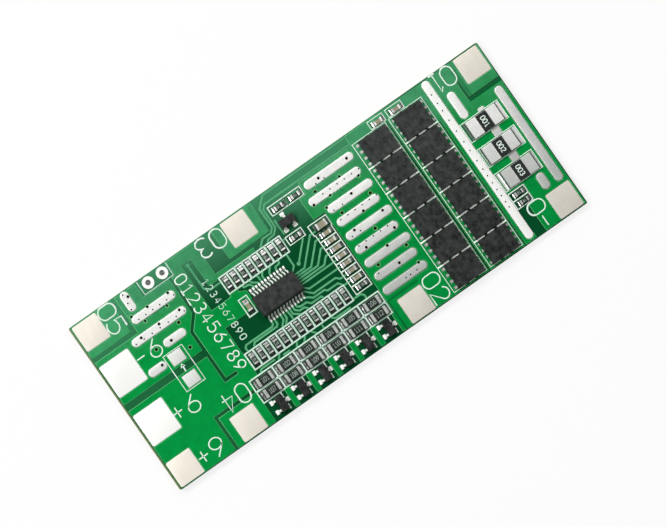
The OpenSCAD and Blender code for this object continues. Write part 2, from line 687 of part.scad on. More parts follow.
// Side view of a joint: flat under the metal end, then a hollow fillet that climbs its face
function joint_profile(under, out, rise) = concat(
    [[-under, 0], [out, 0]],
    [for (i = [0:5]) let (t = i / 5) [out * (1 - t), tin_h / 2 + (tin_h / 2 + rise) * t * t]],
    [[0, tin_h], [-under, tin_h]]
);
module joint(under, out, rise, w) {
    rotate([90, 0, 0]) linear_extrude(w, center = true) polygon(joint_profile(under, out, rise));
}
module chip_joints(place, l, w, end, out, rise) {
    at(place) for (a = [0, 180]) rotate(a) translate([l / 2, 0]) joint(end, out, rise, w);
}

module lead_solder() {
    color("lightgray") translate([0, 0, board_t]) {
        for (p = chip_leads) at(p) translate([chip_reach, 0])
            joint(chip_reach * foot, lead_out, lead_t / 2, chip_pad_w);
        for (s = concat(switches, [driver]), p = sot_leads) at(s) at(p) translate([sot_reach, 0])
            joint(sot_reach * foot, lead_out, lead_t * 0.8, sot_pad_w);
    }
}

small_places = concat(upper_chips, lower_chips, filter_chips, loose_resistors, loose_capacitors);

// Plan of the pads under one chip, and of all chips and bent leads
module chip_pads(place, l, w, end, out, grow) {
    at(place) for (x = [-1, 1]) translate([x * (l / 2 + (out - end) / 2), 0])
        square([end + out + 2 * grow, w + 2 * grow], center = true);
}
module chip_pads_plan(grow = 0) {
    for (p = small_places) chip_pads(p, small_l, small_pad_w, small_end, small_out, grow);
    for (p = bleed_chips) chip_pads(p, bleed_l, bleed_w, bleed_end, bleed_out, grow);
    chip_pads(large_chip, large_l, large_w, small_end, large_out, grow);
}
module lead_pads_plan(grow = 0) {
    for (p = chip_leads) at(p) translate([chip_reach * (1 - foot) - grow, -chip_pad_w / 2 - grow])
        square([chip_reach * foot + lead_out + 2 * grow, chip_pad_w + 2 * grow]);
    for (s = concat(switches, [driver]), p = sot_leads) at(s) at(p)
        translate([sot_reach * (1 - foot) - grow, -sot_pad_w / 2 - grow])
            square([sot_reach * foot + lead_out + 2 * grow, sot_pad_w + 2 * grow]);
}

module chip_solder() {
    color("lightgray") translate([0, 0, board_t]) {
        for (p = small_places) chip_joints(p, small_l, small_pad_w, small_end, small_out, small_h * climb);
        chip_joints(large_chip, large_l, large_w, small_end, large_out, large_h * climb);
        for (p = bleed_chips) chip_joints(p, bleed_l, bleed_w, bleed_end, bleed_out, bleed_h * climb);
        for (i = [0:2], a = [0, 180]) at(shunt_at(i)) rotate(a) translate([shunt_l / 2, 0])
            joint(shunt_end, shunt_out + (a == 0 ? -1 : 1) * shunt_drift[i], shunt_h * climb, shunt_w);
    }
}
module shunt_pads_plan(grow = 0) {
    for (i = [0:2]) translate([shunt_x, shunt_y - i * shunt_step])
        square([shunt_l + 2 * shunt_out + 2 * grow, shunt_w + 2 * grow], center = true);
}

// ---- chips ----

skin = 0.03;

// Middle of a chip, a little thinner than its metal ends
module chip_core(place, l, w, h, end) {
    translate([0, 0, seat + skin]) at(place)
        rotate([90, 0, 90]) linear_extrude(l - 2 * end, center = true)
            translate([0, (h - 2 * skin) / 2]) square([w - 2 * skin, h - 2 * skin], center = true);
}
module chip_ends(place, l, w, h, end) {
    r = end / 5;
    translate([0, 0, seat]) at(place) for (x = [-1, 1]) translate([x * (l - end) / 2, 0, h / 2])
        rotate([90, 0, 90]) linear_extrude(end, center = true) rounded(w, h, r);
}

module small_cores(places, tint) {
    color(tint) for (p = places) chip_core(p, small_l, small_w, small_h, small_end);
}
module filter_capacitors() {
    small_cores(filter_chips, "tan");
    color("tan") chip_core(large_chip, large_l, large_w, large_h, small_end);
}
module resistor_ends() {
    color("white") for (p = concat(upper_chips, lower_chips, loose_resistors))
        chip_ends(p, small_l, small_w, small_h, small_end);
}
module capacitor_ends() {
    color("white") {
        for (p = concat(filter_chips, loose_capacitors)) chip_ends(p, small_l, small_w, small_h, small_end);
        chip_ends(large_chip, large_l, large_w, large_h, small_end);
    }
}
module balance_resistors() {
    color("#222624") for (p = bleed_chips) chip_core(p, bleed_l, bleed_w, bleed_h, bleed_end);
}
module balance_resistor_ends() {
    color("white") for (p = bleed_chips) chip_ends(p, bleed_l, bleed_w, bleed_h, bleed_end);
}

// ---- shunts ----

module shunt_middle(i) {
    l = shunt_l - 2 * shunt_end;
    h = shunt_h + shunt_rise;
    color("#222222") translate([0, 0, seat + h / 2]) at(shunt_at(i))
        rotate([90, 0, 90]) linear_extrude(l, center = true) rounded(shunt_w, h, shunt_rise);
}
module shunt_ends() {
    color("whitesmoke") translate([0, 0, seat + shunt_h / 2]) for (i = [0:2], x = [-1, 1])
        at(shunt_at(i)) translate([x * (shunt_l - shunt_end) / 2, 0])
            rotate([90, 0, 90]) linear_extrude(shunt_end, center = true)
                rounded(shunt_w, shunt_h, shunt_rise);
}

// ---- nodes ----

board();
copper_areas();
signal_tracks();
terminal(cell5_at);  // terminal_b5
terminal(cell4_at);  // terminal_b4
terminal(cell3_at);  // terminal_b3
terminal(cell2_at);  // terminal_b2
terminal(cell1_at);  // terminal_b1
terminal(plus_at);  // terminal_b_plus
terminal(minus_at);  // terminal_b_minus
terminal(load_plus_at, load_pad_l, load_pad_w);  // terminal_p_plus
terminal(load_minus_at, load_pad_l, load_pad_w);  // terminal_p_minus
sensor_eyelets();
bare_pads();
solder_bars(left_bars);  // left_solder_bars
solder_bars(right_bars);  // right_solder_bars
solder_bars([long_bar_ends]);  // long_solder_bar
solder_bars([short_bar_ends]);  // short_solder_bar
solder_bars([edge_bar_ends]);  // edge_solder_bar
solder_bars([stub_bar_ends]);  // stub_solder_bar
for (i = [1:12]) power_transistor(i - 1);
power_frames(0);  // power_frames_left
power_frames(power_rows);  // power_frames_right
power_solder();
controller();
controller_leads();
for (i = [1:3]) shunt_middle(i - 1);
shunt_ends();
for (i = [1:6]) sot_body(switches[i - 1]);
sot_body(driver);  // driver_transistor
transistor_leads();
lead_solder();
balance_resistors();
balance_resistor_ends();
small_cores(upper_chips, "#222624");  // upper_row_resistors
small_cores(lower_chips, "#222624");  // lower_row_resistors
small_cores(loose_resistors, "#222624");  // other_resistors
resistor_ends();
filter_capacitors();
small_cores(loose_capacitors, "tan");  // other_capacitors
capacitor_ends();
chip_solder();
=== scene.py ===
"""Battery management board: finishes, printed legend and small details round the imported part."""
from math import cos, pi, radians, sin

import bmesh
import bpy
from bpy.props import FloatProperty, FloatVectorProperty, PointerProperty
from mathutils import Matrix, Vector


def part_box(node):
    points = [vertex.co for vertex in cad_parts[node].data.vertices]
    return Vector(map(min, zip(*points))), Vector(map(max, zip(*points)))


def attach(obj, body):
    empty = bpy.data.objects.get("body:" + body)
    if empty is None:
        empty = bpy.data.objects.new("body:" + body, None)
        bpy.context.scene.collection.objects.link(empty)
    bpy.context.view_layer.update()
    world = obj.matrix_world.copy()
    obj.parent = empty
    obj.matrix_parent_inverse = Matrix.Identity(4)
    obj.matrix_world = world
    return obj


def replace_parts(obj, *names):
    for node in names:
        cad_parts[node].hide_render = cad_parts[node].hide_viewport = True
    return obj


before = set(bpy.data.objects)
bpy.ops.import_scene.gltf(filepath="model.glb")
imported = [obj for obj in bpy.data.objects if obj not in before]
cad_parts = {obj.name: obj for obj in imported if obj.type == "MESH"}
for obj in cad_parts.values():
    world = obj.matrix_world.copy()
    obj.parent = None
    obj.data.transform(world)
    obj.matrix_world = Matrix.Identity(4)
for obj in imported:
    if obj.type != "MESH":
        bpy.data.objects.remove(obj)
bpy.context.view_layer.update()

bl_info = {
    "name": "Battery Management Board",
    "version": (1, 0, 0),
    "blender": (4, 5, 0),
    "location": "3D View > Sidebar > Board",
    "description": "Finishes, printed legend and small details of a battery management board",
    "category": "Object",
}

MM = 0.001
BOARD_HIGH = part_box("board")[1]
COAT_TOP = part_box("copper_areas")[1].z
TOP = BOARD_HIGH.z
RIGHT, BACK = BOARD_HIGH.x / MM, BOARD_HIGH.y / MM  # the board's middle is at 0, 0
SAME_PLACE = 1e-7  # corners closer than this, in metres, are one
LEVEL = 0.9  # a face lies level where its normal points up by more than this


def middle(node):
    """Middle of a node's box, in millimetres."""
    low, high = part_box(node)
    return (low + high) / 2 / MM


def colour(name, description, rgb):
    return FloatVectorProperty(name=name, description=description, subtype="COLOR", size=3,
                               min=0.0, max=1.0, default=rgb)


def srgb(r, g, b):
    """A colour written as a maker reads it off a swatch, 0 to 255, as linear light."""
    def linear(v):
        v /= 255
        return v / 12.92 if v <= 0.04045 else ((v + 0.055) / 1.055) ** 2.4
    return linear(r), linear(g), linear(b)


# ---- settings ----

class CoatSettings(bpy.types.PropertyGroup):
    """The green coat on laminate and copper"""
    over_copper: colour("Coat over copper", "Green of the coat where copper lies under it", srgb(0, 143, 62))
    over_laminate: colour("Coat over laminate", "Green of the coat on bare laminate", srgb(0, 72, 36))
    # Painted glare: the greyer green towards the back stands in for light glancing off the coat there
    pale: colour("Pale coat", "Greyer green of the coat towards the long back edge", srgb(78, 158, 114))
    track: colour("Coat over tracks", "Green of the coat on the narrow tracks", srgb(96, 178, 128))
    ring: colour("Via ring", "Coat over the ring of a via", srgb(112, 174, 118))
    rim: colour("Coat at the rims", "Green of the thin coat on the copper's rims", srgb(104, 194, 132))
    edge: colour("Cut edge", "Glass fibre laminate at the board's cut edge", srgb(126, 132, 84))


class MetalSettings(bpy.types.PropertyGroup):
    """Tin, solder and plated leads"""
    tin: colour("Tinned terminal", "Flat tinned terminal", srgb(250, 243, 230))
    # Tin in painted shade: the greyer tone towards the right front corner stands in for dimmer light there
    tin_in_painted_shade: colour("Tinned terminal, far end", "Tin towards the right front corner", srgb(214, 209, 198))
    bare: colour("Bare pad", "Tin of the open jumper", srgb(238, 241, 235))
    # Bare tin in painted shade towards the right front corner
    bare_in_painted_shade: colour("Bare pad, far end", "Tin of the sense pads", srgb(158, 161, 158))
    bright: colour("Bright tin", "Whiter tin of the load terminals and the eyelets", srgb(254, 254, 251))
    solder: colour("Solder", "Bright solder", srgb(252, 252, 249))
    # Solder in painted shade: the greyer tone towards the front stands in for dimmer light there
    solder_in_painted_shade: colour("Solder, front", "Solder towards the front edge", srgb(194, 198, 193))
    lead: colour("Lead", "Plated leads and lead frames", srgb(226, 230, 224))


class PackageSettings(bpy.types.PropertyGroup):
    """Moulded packages and chips"""
    moulding: colour("Moulding", "Charcoal moulding compound", srgb(47, 50, 49))
    resistor: colour("Resistor glaze", "Black glaze of a resistor", srgb(38, 44, 42))
    ceramic: colour("Resistor ceramic", "White ceramic under the glaze", srgb(222, 222, 216))
    capacitor: colour("Capacitor ceramic", "Tan ceramic of a capacitor", srgb(160, 152, 130))


class LegendSettings(bpy.types.PropertyGroup):
    """White printed legend"""
    ink: colour("Ink", "White legend ink", srgb(228, 242, 231))
    thin: colour("Thin ink", "Greener ink of the frames round the rows of chips", srgb(206, 232, 217))
    line: FloatProperty(name="Line width", description="Width of a legend line", default=0.26 * MM,
                        min=0.05 * MM, max=0.6 * MM, subtype="DISTANCE", unit="LENGTH")
    height: FloatProperty(name="Ink height", description="How far the ink stands above the coat",
                          default=0.015 * MM, min=0.005 * MM, max=0.05 * MM,
                          subtype="DISTANCE", unit="LENGTH")


class StageSettings(bpy.types.PropertyGroup):
    """Floor, lamps and camera"""
    distance: FloatProperty(name="Camera distance", description="From the board's middle to the camera",
                            default=2.5, min=0.5, max=5, subtype="DISTANCE", unit="LENGTH")
    lean: FloatProperty(name="Lean", description="How far the camera leans from straight above",
                        default=radians(11.58), subtype="ANGLE", unit="ROTATION")
    bearing: FloatProperty(name="Bearing", description="Side to which the camera leans, from +X",
                           default=radians(169.46), subtype="ANGLE", unit="ROTATION")
    roll: FloatProperty(name="Roll", description="How far the board is turned in the frame",
                        default=radians(35.41), subtype="ANGLE", unit="ROTATION")
    lens: FloatProperty(name="Lens", description="Focal length in millimetres", default=779.17,
                        min=50, max=2000)
    key: FloatProperty(name="Key lamp", description="Power of the large lamp at the back left, in watts",
                       default=4.1, min=0, max=200)
    side: FloatProperty(name="Side lamp", description="Power of the lamp at the left end, in watts",
                        default=2.1, min=0, max=200)
    fill: FloatProperty(name="Fill", description="Strength of the even light all round", default=0.64,
                        min=0, max=3)
    shroud: FloatProperty(name="Shroud", description="How dark it is right overhead, round the camera",
                          default=0.95, min=0, max=1)
    floor: colour("Floor", "Pale floor", (0.9, 0.9, 0.9))


# Regions of the board that a finish treats apart: x0, y0, x1, y1 in millimetres
STEP_BESIDE_B1 = (37.1, 9.1, 44.2, 10.0)
SIDE_OF_B1 = (37.1, 9.1, 38.1, 15.4)
STEP_BESIDE_B2 = (4.72, -17.2, 5.02, -10.8)
BACK_OF_B2 = (4.72, -11.1, 11.3, -10.75)
EYELETS = (-31.0, 14.0, -22.0, 17.2)
SHADED_COAT = (-34.0, 8.0, -15.0, 18.5)
SHADED_LAMINATE = (-34.0, 8.0, 0.0, 15.2)


# ---- shader maths ----

class Wire:
    """A socket of a node tree, on which arithmetic adds Math nodes."""

    def __init__(self, owner, socket):
        self.owner, self.socket = owner, socket

    def _maths(self, operation, a, b=None):
        values = {i: v for i, v in enumerate((a, b)) if v is not None}
        return self.owner.node("ShaderNodeMath", {"operation": operation}, values)

    def __add__(self, other):
        return self._maths("ADD", self, other)

    def __radd__(self, other):
        return self._maths("ADD", other, self)

    def __sub__(self, other):
        return self._maths("SUBTRACT", self, other)

    def __rsub__(self, other):
        return self._maths("SUBTRACT", other, self)

    def __mul__(self, other):
        return self._maths("MULTIPLY", self, other)

    def __rmul__(self, other):
        return self._maths("MULTIPLY", other, self)

    def __truediv__(self, other):
        return self._maths("DIVIDE", self, other)

    def most(self, other):
        return self._maths("MAXIMUM", self, other)

    def size(self):
        return self._maths("ABSOLUTE", self)

    def ramp(self, low, high):
        """Smooth step from 0 to 1 as the wire goes from low to high."""
        return self.owner.node("ShaderNodeMapRange", {"interpolation_type": "SMOOTHSTEP"},
                               {0: self, 1: low, 2: high, 3: 0.0, 4: 1.0})


class Tree:
    """A node tree in the making."""

    def __init__(self, tree):
        self.tree = tree

    def node(self, kind, settings, inputs, output=0):
        """Adds a node: its settings first, then the values or links of its sockets."""
        made = self.tree.nodes.new(kind)
        for key, value in settings.items():
            setattr(made, key, value)
        for key, value in inputs.items():
            self.feed(made.inputs[key], value)
        return Wire(self, made.outputs[output])

    def feed(self, socket, value):
        """Links a wire to a socket, or sets a number or colour on it."""
        if isinstance(value, Wire):
            self.tree.links.new(value.socket, socket)
        elif hasattr(value, "__len__"):
            socket.default_value = (*value, 1)[:len(socket.default_value)]
        else:
            socket.default_value = value

    def split(self, vector):
        parts = self.node("ShaderNodeSeparateXYZ", {}, {0: vector})
        return [Wire(self, out) for out in parts.socket.node.outputs]


class Paint(Tree):
    """A material in the making. Places on it are in millimetres."""

    def __init__(self, name, roughness=0.5, metallic=0.0, **constants):
        self.material = bpy.data.materials.new(name)
        self.material.use_nodes = True
        super().__init__(self.material.node_tree)
        self.shader = self.tree.nodes["Principled BSDF"]
        self.set(Roughness=roughness, Metallic=metallic, **constants)
        place = self.node("ShaderNodeTexCoord", {}, {}, "Object")
        self.mm = self.node("ShaderNodeVectorMath", {"operation": "SCALE"}, {0: place, "Scale": 1 / MM})
        self.x, self.y, self.z = self.split(self.mm)
        self.across, self.along, self.up = self.split(self.node("ShaderNodeNewGeometry", {}, {}, "Normal"))

    def set(self, **values):
        for key, value in values.items():
            self.feed(self.shader.inputs[key.replace("_", " ")], value)

    def mix(self, factor, a, b):
        """Colour a where factor is 0, colour b where it is 1."""
        return self.node("ShaderNodeMix", {"data_type": "RGBA"}, {0: factor, 6: a, 7: b}, 2)

    def shade(self, tone, amount):
        """A colour made lighter or darker by a number round 1."""
        grey = self.node("ShaderNodeCombineXYZ", {}, {0: amount, 1: amount, 2: amount})
        return self.node("ShaderNodeMix", {"data_type": "RGBA", "blend_type": "MULTIPLY"},
                         {0: 1.0, 6: tone, 7: grey}, 2)

    def cloud(self, scale, detail=3.0, roughness=0.5, stretch=(1, 1, 1)):
        """Soft noise from 0 to 1; scale is in spots a millimetre."""
        place = self.node("ShaderNodeVectorMath", {"operation": "MULTIPLY"}, {0: self.mm, 1: stretch})
        return self.node("ShaderNodeTexNoise", {"noise_dimensions": "3D"},
                         {"Vector": place, "Scale": scale, "Detail": detail, "Roughness": roughness})

    def within(self, x0, y0, x1, y1, soft=0.12):
        """1 inside a box on the board, in millimetres, and 0 outside it."""
        return (self.x.ramp(x0 - soft, x0 + soft) * (1 - self.x.ramp(x1 - soft, x1 + soft))
                * self.y.ramp(y0 - soft, y0 + soft) * (1 - self.y.ramp(y1 - soft, y1 + soft)))

    def painted_slope_shade(self):
        """Painted shade and dark reflection on a joint's slopes: most where they face the front, less where
        they face left.
        """
        return ((0 - self.along).ramp(0.25, 0.6) * 0.85).most((0 - self.across).ramp(0.2, 0.6) * 0.6)

    def thick_coat(self):
        """Where the coat lies thick and dark, in the steps beside terminals B1 and B2."""
        first = (self.within(*STEP_BESIDE_B1) * 0.95).most(self.within(*SIDE_OF_B1) * 0.4)
        second = self.within(*STEP_BESIDE_B2).most(self.within(*BACK_OF_B2) * 0.8)
        return first.most(second * 0.85)

    def bump(self, height, distance, strength):
        """Relief of so many millimetres."""
        made = self.node("ShaderNodeBump", {}, {"Height": height, "Distance": distance * MM,
                                                "Strength": strength})
        self.set(Normal=made)
        return self


# ---- finishes ----

def coat_paint(name, tone, pale, settings):
    """Green coat: cloudy where it is thin, greyer towards the back with painted glare, and darkened by
    painted shade away from the left end and at the back left.
    """
    mottle = 0.14  # how strongly the green varies from place to place
    p = Paint(name, roughness=0.34, Specular_IOR_Level=0.1)
    drift = p.cloud(0.22, 2.0)
    # Painted glare: greyer towards the back, as much as pale says
    back = (p.y + (drift - 0.5) * 6).ramp(4.0, 15.0)
    green = p.mix(p.thick_coat(), p.mix(back * pale, tone, settings.pale), srgb(0, 92, 46))
    grain = p.cloud(2.6, 4.0, 0.6)
    patch = p.cloud(0.55, 2.0)
    # Painted shade: darker from the left end towards the middle, and in the shaded back left
    painted_shade = p.x.ramp(-36.0, -4.0) * 0.12 + p.within(*SHADED_COAT, 2.5) * 0.12
    green = p.shade(green, 1 + (grain - 0.5) * mottle * 2 + (patch - 0.5) * mottle * 3 - painted_shade)
    p.set(Base_Color=green, Roughness=0.3 + grain * 0.14)
    return p.bump(p.cloud(3.2, 3.0), 0.012, 0.6)


def laminate_paint(settings):
    """Coated laminate, lighter at the left end with painted light and greyer at the back with painted glare,
    darkened by painted shade at the back left, with bare layers of fibre at its edges.
    """
    p = Paint("laminate", roughness=0.45, Specular_IOR_Level=0.12)
    grain = p.cloud(2.2, 4.0, 0.6)
    # Painted glare: greyer towards the back, less so at the right end
    back = p.y.ramp(5.0, 16.0) * (1 - p.x.ramp(20.0, 26.0) * 0.6)
    # Painted light: lighter green towards the left end
    left = 1 - p.x.ramp(-38.0, -22.0)
    green = p.mix(left * 0.6, settings.over_laminate, srgb(40, 116, 70))
    green = p.mix(back * 0.62, green, settings.pale)
    # Painted shade at the back left
    painted_shade = p.within(*SHADED_LAMINATE, 2.0) * 0.2
    green = p.shade(green, 0.86 + grain * 0.26 - painted_shade)
    layers = p.cloud(1.0, 2.0, 0.5, (0.6, 0.6, 9.0))
    fibre = p.shade(settings.edge, 0.72 + layers * 0.5)
    wall = 1 - p.up.size().ramp(0.4, 0.7)
    p.set(Base_Color=p.mix(wall, green, fibre), Roughness=0.36 + wall * 0.36)
    return p.bump(grain, 0.01, 0.5)


def tin_paint(name, near, distant):
    """Flat tin with faint strokes; painted shade greys it towards the right front corner and darkens it a
    little towards the back.
    """
    p = Paint(name, metallic=0.15, roughness=0.42)
    front = 1 - p.y.ramp(-12.0, 12.0)
    # Painted shade: greyer towards the right, most at the front
    far = p.x.ramp(-43.0, -6.0) * (front * 0.75 + 0.25)
    stroke = p.cloud(1.4, 3.0, 0.6, (1.0, 0.22, 1.0))
    spot = p.cloud(0.5, 2.0)
    # Painted shade: a little darker towards the back
    tone = p.shade(p.mix(far, near, distant), 0.97 + stroke * 0.08 + spot * 0.06
                   - p.y.ramp(-14.0, 14.0) * 0.09)
    p.set(Base_Color=tone, Roughness=0.34 + stroke * 0.2)
    return p.bump(stroke, 0.02, 0.5)


def bright_paint(settings):
    """White, freshly tinned metal, faintly streaked; painted shade darkens the walls of the eyelets and the
    metal a little towards the right.
    """
    p = Paint("bright_tin", metallic=0.05, roughness=0.4)
    stroke = p.cloud(1.1, 3.0, 0.6, (0.3, 1.0, 1.0))
    # Painted shade on the walls of the eyelets
    wall = (1 - p.up.ramp(0.2, 0.7)) * p.within(*EYELETS) * 0.42
    # Painted shade: a little darker towards the right
    far = p.x.ramp(0.0, 20.0) * 0.05
    tone = p.shade(settings.bright, 0.96 + stroke * 0.06 - wall - far)
    p.set(Base_Color=tone, Roughness=0.32 + stroke * 0.2)
    return p.bump(stroke, 0.015, 0.5)


def solder_paint(name, settings, rough, metallic, relief, streak=0.0, front=1.0, level=0.92):
    """Solder: slow waves in its skin, greyer with painted shade towards the front by so much and on the outer
    bar at the right edge, and streaked by so much.
    """
    p = Paint(name, metallic=metallic, roughness=rough)
    # Painted shade: greyer towards the front
    front = (1 - (p.y + p.cloud(0.3, 1.0) * 4).ramp(-9.0, 12.0)) * front
    grain = p.cloud(1.9, 3.0, 0.55)
    dull = p.cloud(2.4, 2.0, 0.5, (1.0, 0.45, 1.0)).ramp(0.46, 0.62) * streak
    # Painted shade on the outer bar at the right edge, towards its back
    outer = p.x.ramp(40.9, 41.3) * p.y.ramp(-6.0, 3.0) * 0.2
    tone = p.shade(p.mix(front, settings.solder, settings.solder_in_painted_shade), level + grain * 0.14 - dull - outer)
    p.set(Base_Color=tone, Roughness=rough - 0.06 + grain * 0.18)
    return p.bump(p.cloud(1.1, 2.0), relief, 0.7)


def joint_paint(settings):
    """Fillets of the chips, bright and streaked, with painted shade towards the front and painted shade and
    dark reflection on slopes that face the front and left; those of the shunts are duller, with painted
    shadow beside their ends.
    """
    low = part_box("shunt_ends")[0]
    p = Paint("joint_solder", roughness=0.2, metallic=1.0)
    shunt = p.x.ramp(low.x / MM - 1.2, low.x / MM - 1.1) * p.y.ramp(low.y / MM - 0.2, low.y / MM - 0.1)
    # Painted shade: greyer towards the front
    front = 1 - (p.y + p.cloud(0.3, 1.0) * 4).ramp(-9.0, 12.0)
    grain = p.cloud(1.9, 3.0, 0.55)
    dull = p.cloud(2.4, 2.0, 0.5, (1.0, 0.45, 1.0)).ramp(0.46, 0.6) * (0.5 - shunt * 0.5)
    # Painted shadow beside each end of a shunt, where the fillet meets the metal end, wider at the outside of
    # the first
    painted_end_shadow = 0
    for i in (1, 2, 3):
        ends = [b for b in islands("shunt_ends") if abs((b[1] + b[3]) / 2 - middle(f"shunt_{i}").y) < 1]
        x0, y0, x1, y1 = (pick(c) for pick, c in zip((min, min, max, max), zip(*ends)))
        painted_end_shadow = p.within(x1 + 0.04, y0, x1 + 0.3, y1, 0.04) + painted_end_shadow
        painted_end_shadow = p.within(x0 - (0.9 if i == 1 else 0.32), y0, x0 - 0.02, y1, 0.05) + painted_end_shadow
    tone = p.mix(front, settings.solder, settings.solder_in_painted_shade)
    tone = p.shade(p.mix(painted_end_shadow, tone, srgb(58, 84, 68)), 0.92 + grain * 0.14 - dull + shunt * 0.08)
    # Painted shade and dark reflection on the chips' slopes, none on the shunts
    tone = p.shade(tone, 1 - p.painted_slope_shade() * (1 - shunt))
    p.set(Base_Color=tone, Roughness=0.1 + grain * 0.14 + shunt * 0.12, Metallic=1 - shunt * 0.75)
    return p.bump(p.cloud(1.1, 2.0), 0.05, 0.7)


def lead_paint(name, settings, metallic, level=1.0, bent=False):
    """Plated leads; on a bent one, painted shade darkens the plating at the body's front edge and on the
    slopes.
    """
    p = Paint(name, metallic=metallic, roughness=0.32)
    grain = p.cloud(5.0, 3.0, 0.6)
    level = level - 0.1 + grain * 0.2
    if bent:
        low, high = (corner.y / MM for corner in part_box("controller"))
        behind, before = p.y - high, low - p.y
        slope = behind.ramp(0.68, 0.76) * (1 - behind.ramp(0.94, 1.02)) * 0.6
        neck = before.ramp(-0.1, 0.0) * (1 - before.ramp(0.2, 0.28)) * 0.9
        fall = before.ramp(0.62, 0.7) * (1 - before.ramp(0.98, 1.1)) * 0.55
        # Painted shade: the body's shadow at its front edge and the shaded slopes of the leads
        level = level - slope - neck - fall
    p.set(Base_Color=p.shade(settings.lead, level), Roughness=0.25 + grain * 0.2)
    return p.bump(grain, 0.006, 0.5)


def moulding_paint(settings):
    """Moulding compound: fine grit from the tool, faint flow marks and a dusty bloom, with painted shade in
    the round marks and along the controller's front edge.
    """
    p = Paint("moulding", roughness=0.55, Specular_IOR_Level=0.35)
    grit = p.cloud(5.0, 3.0, 0.7)
    bloom = p.cloud(1.0, 4.0, 0.65)
    flow = p.cloud(1.6, 2.0, 0.5, (1.0, 0.15, 1.0))
    front = 1 - p.y.ramp(-16.0, 16.0)
    tops = (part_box("power_transistor_1")[1].z / MM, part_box("controller")[1].z / MM)
    pit = 0
    for top in tops:
        # A round mark in the moulding is 0.04 to 0.06 mm deep; its floor gets painted shade
        depth = (top - p.z).size()
        pit = depth.ramp(0.03, 0.038) * (1 - depth.ramp(0.065, 0.075)) + pit
    level = (0.95 + (grit - 0.5) * 1.6 + (bloom - 0.5) * 3.2 + (flow - 0.5) * 1.0 - front * 0.4
             - pit * p.up.ramp(0.5, 0.9) * 0.3)
    low, high = (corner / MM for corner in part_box("controller"))
    level = level + p.within(low.x, low.y, high.x, high.y) * 0.08
    # Painted shadow along the controller's front edge
    level = level * (1 - p.within(low.x, low.y - 0.1, high.x, low.y + 0.3, 0.06) * 0.7)
    p.set(Base_Color=p.shade(settings.moulding, level), Roughness=0.46 + bloom * 0.22)
    return p.bump(grit, 0.02, 0.8)


def resistor_paint(settings):
    """Black glaze on top, white ceramic at the sides."""
    p = Paint("resistor_glaze", roughness=0.3)
    grain = p.cloud(5.0, 3.0, 0.6)
    side = 1 - p.up.ramp(0.3, 0.8)
    tone = p.mix(side, p.shade(settings.resistor, 0.75 + grain * 0.5), settings.ceramic)
    p.set(Base_Color=tone, Roughness=0.24 + grain * 0.2 + side * 0.25)
    return p.bump(grain, 0.008, 0.5)


def capacitor_paint(settings):
    """Tan ceramic, a little different from batch to batch."""
    p = Paint("capacitor_ceramic", roughness=0.4)
    grain = p.cloud(6.0, 3.0, 0.6)
    batch = p.cloud(0.45, 1.0)
    tone = p.mix(batch.ramp(0.35, 0.65), settings.capacitor, srgb(146, 142, 122))
    p.set(Base_Color=p.shade(tone, 0.84 + grain * 0.3), Roughness=0.32 + grain * 0.2)
    return p.bump(grain, 0.006, 0.5)


def ink_paint(name, tone, glow=0.0):
    """Legend ink, a little worn; glow is painted light that brightens it deep between dark packages."""
    p = Paint(name, roughness=0.6, Emission_Color=tone, Emission_Strength=glow)
    wear = p.cloud(4.0, 4.0, 0.65)
    green = srgb(120, 190, 140)
    p.set(Base_Color=p.mix(wear.ramp(0.62, 0.8) * 0.5, tone, green), Roughness=0.5 + wear * 0.2)
    return p.bump(wear, 0.006, 0.5)


def dark_paint():
    """Painted shade: the shadowed barrel of a via, dark with a brown cast in places."""
    p = Paint("via_barrel", roughness=0.5)
    grain = p.cloud(3.0, 2.0)
    p.set(Base_Color=p.mix(grain, srgb(18, 20, 18), srgb(60, 44, 38)), Roughness=0.45 + grain * 0.2)
    return p.bump(grain, 0.02, 0.5)


def rim_paint(name, tone):
    """Thin coat on a rim, nearly clear over the bright copper in places."""
    p = Paint(name, roughness=0.34, Specular_IOR_Level=0.3)
    grain = p.cloud(1.6, 3.0, 0.6)
    tone = p.mix(p.thick_coat(), tone, srgb(0, 78, 40))
    p.set(Base_Color=p.shade(tone, 0.78 + grain * 0.4), Roughness=0.3 + grain * 0.15)
    return p.bump(grain, 0.01, 0.5)


def dress(names, paint):
    """Gives nodes their finish."""
    for name in names:
        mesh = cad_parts[name].data
        mesh.materials.clear()
        mesh.materials.append(paint.material)


NODES = sorted(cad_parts)


def nodes_with(*words):
    """Names of the nodes that have one of these words in them."""
    return [n for n in NODES if any(w in n for w in words)]


# ---- modelling helpers ----

def clear_selection():
    if bpy.context.object and bpy.context.object.mode != "OBJECT":
        bpy.ops.object.mode_set(mode="OBJECT")
    bpy.ops.object.select_all(action="DESELECT")


def activate(obj):
    clear_selection()
    obj.select_set(True)
    bpy.context.view_layer.objects.active = obj


def join(objects):
    """Joins objects into the first of them."""
    clear_selection()
    for obj in objects:
        obj.select_set(True)
    bpy.context.view_layer.objects.active = objects[0]
    if len(objects) > 1:
        bpy.ops.object.join()
    return objects[0]


def edit(obj, kind, wanted):
    """Enters edit mode with just those edges or faces selected that are wanted."""
    activate(obj)
    bpy.ops.object.mode_set(mode="EDIT")
    bpy.ops.mesh.select_mode(type="EDGE")
    bpy.ops.mesh.select_all(action="DESELECT")
    mesh = bmesh.from_edit_mesh(obj.data)
    for part in getattr(mesh, kind):
        part.select = wanted(part)
    bmesh.update_edit_mesh(obj.data)


def round_edges(obj, wanted, offset, segments):
    """Rounds those edges of an object that are wanted."""
    edit(obj, "edges", wanted)
    bpy.ops.mesh.bevel(offset=offset, segments=segments, affect="EDGES", clamp_overlap=False)
    bpy.ops.object.mode_set(mode="OBJECT")


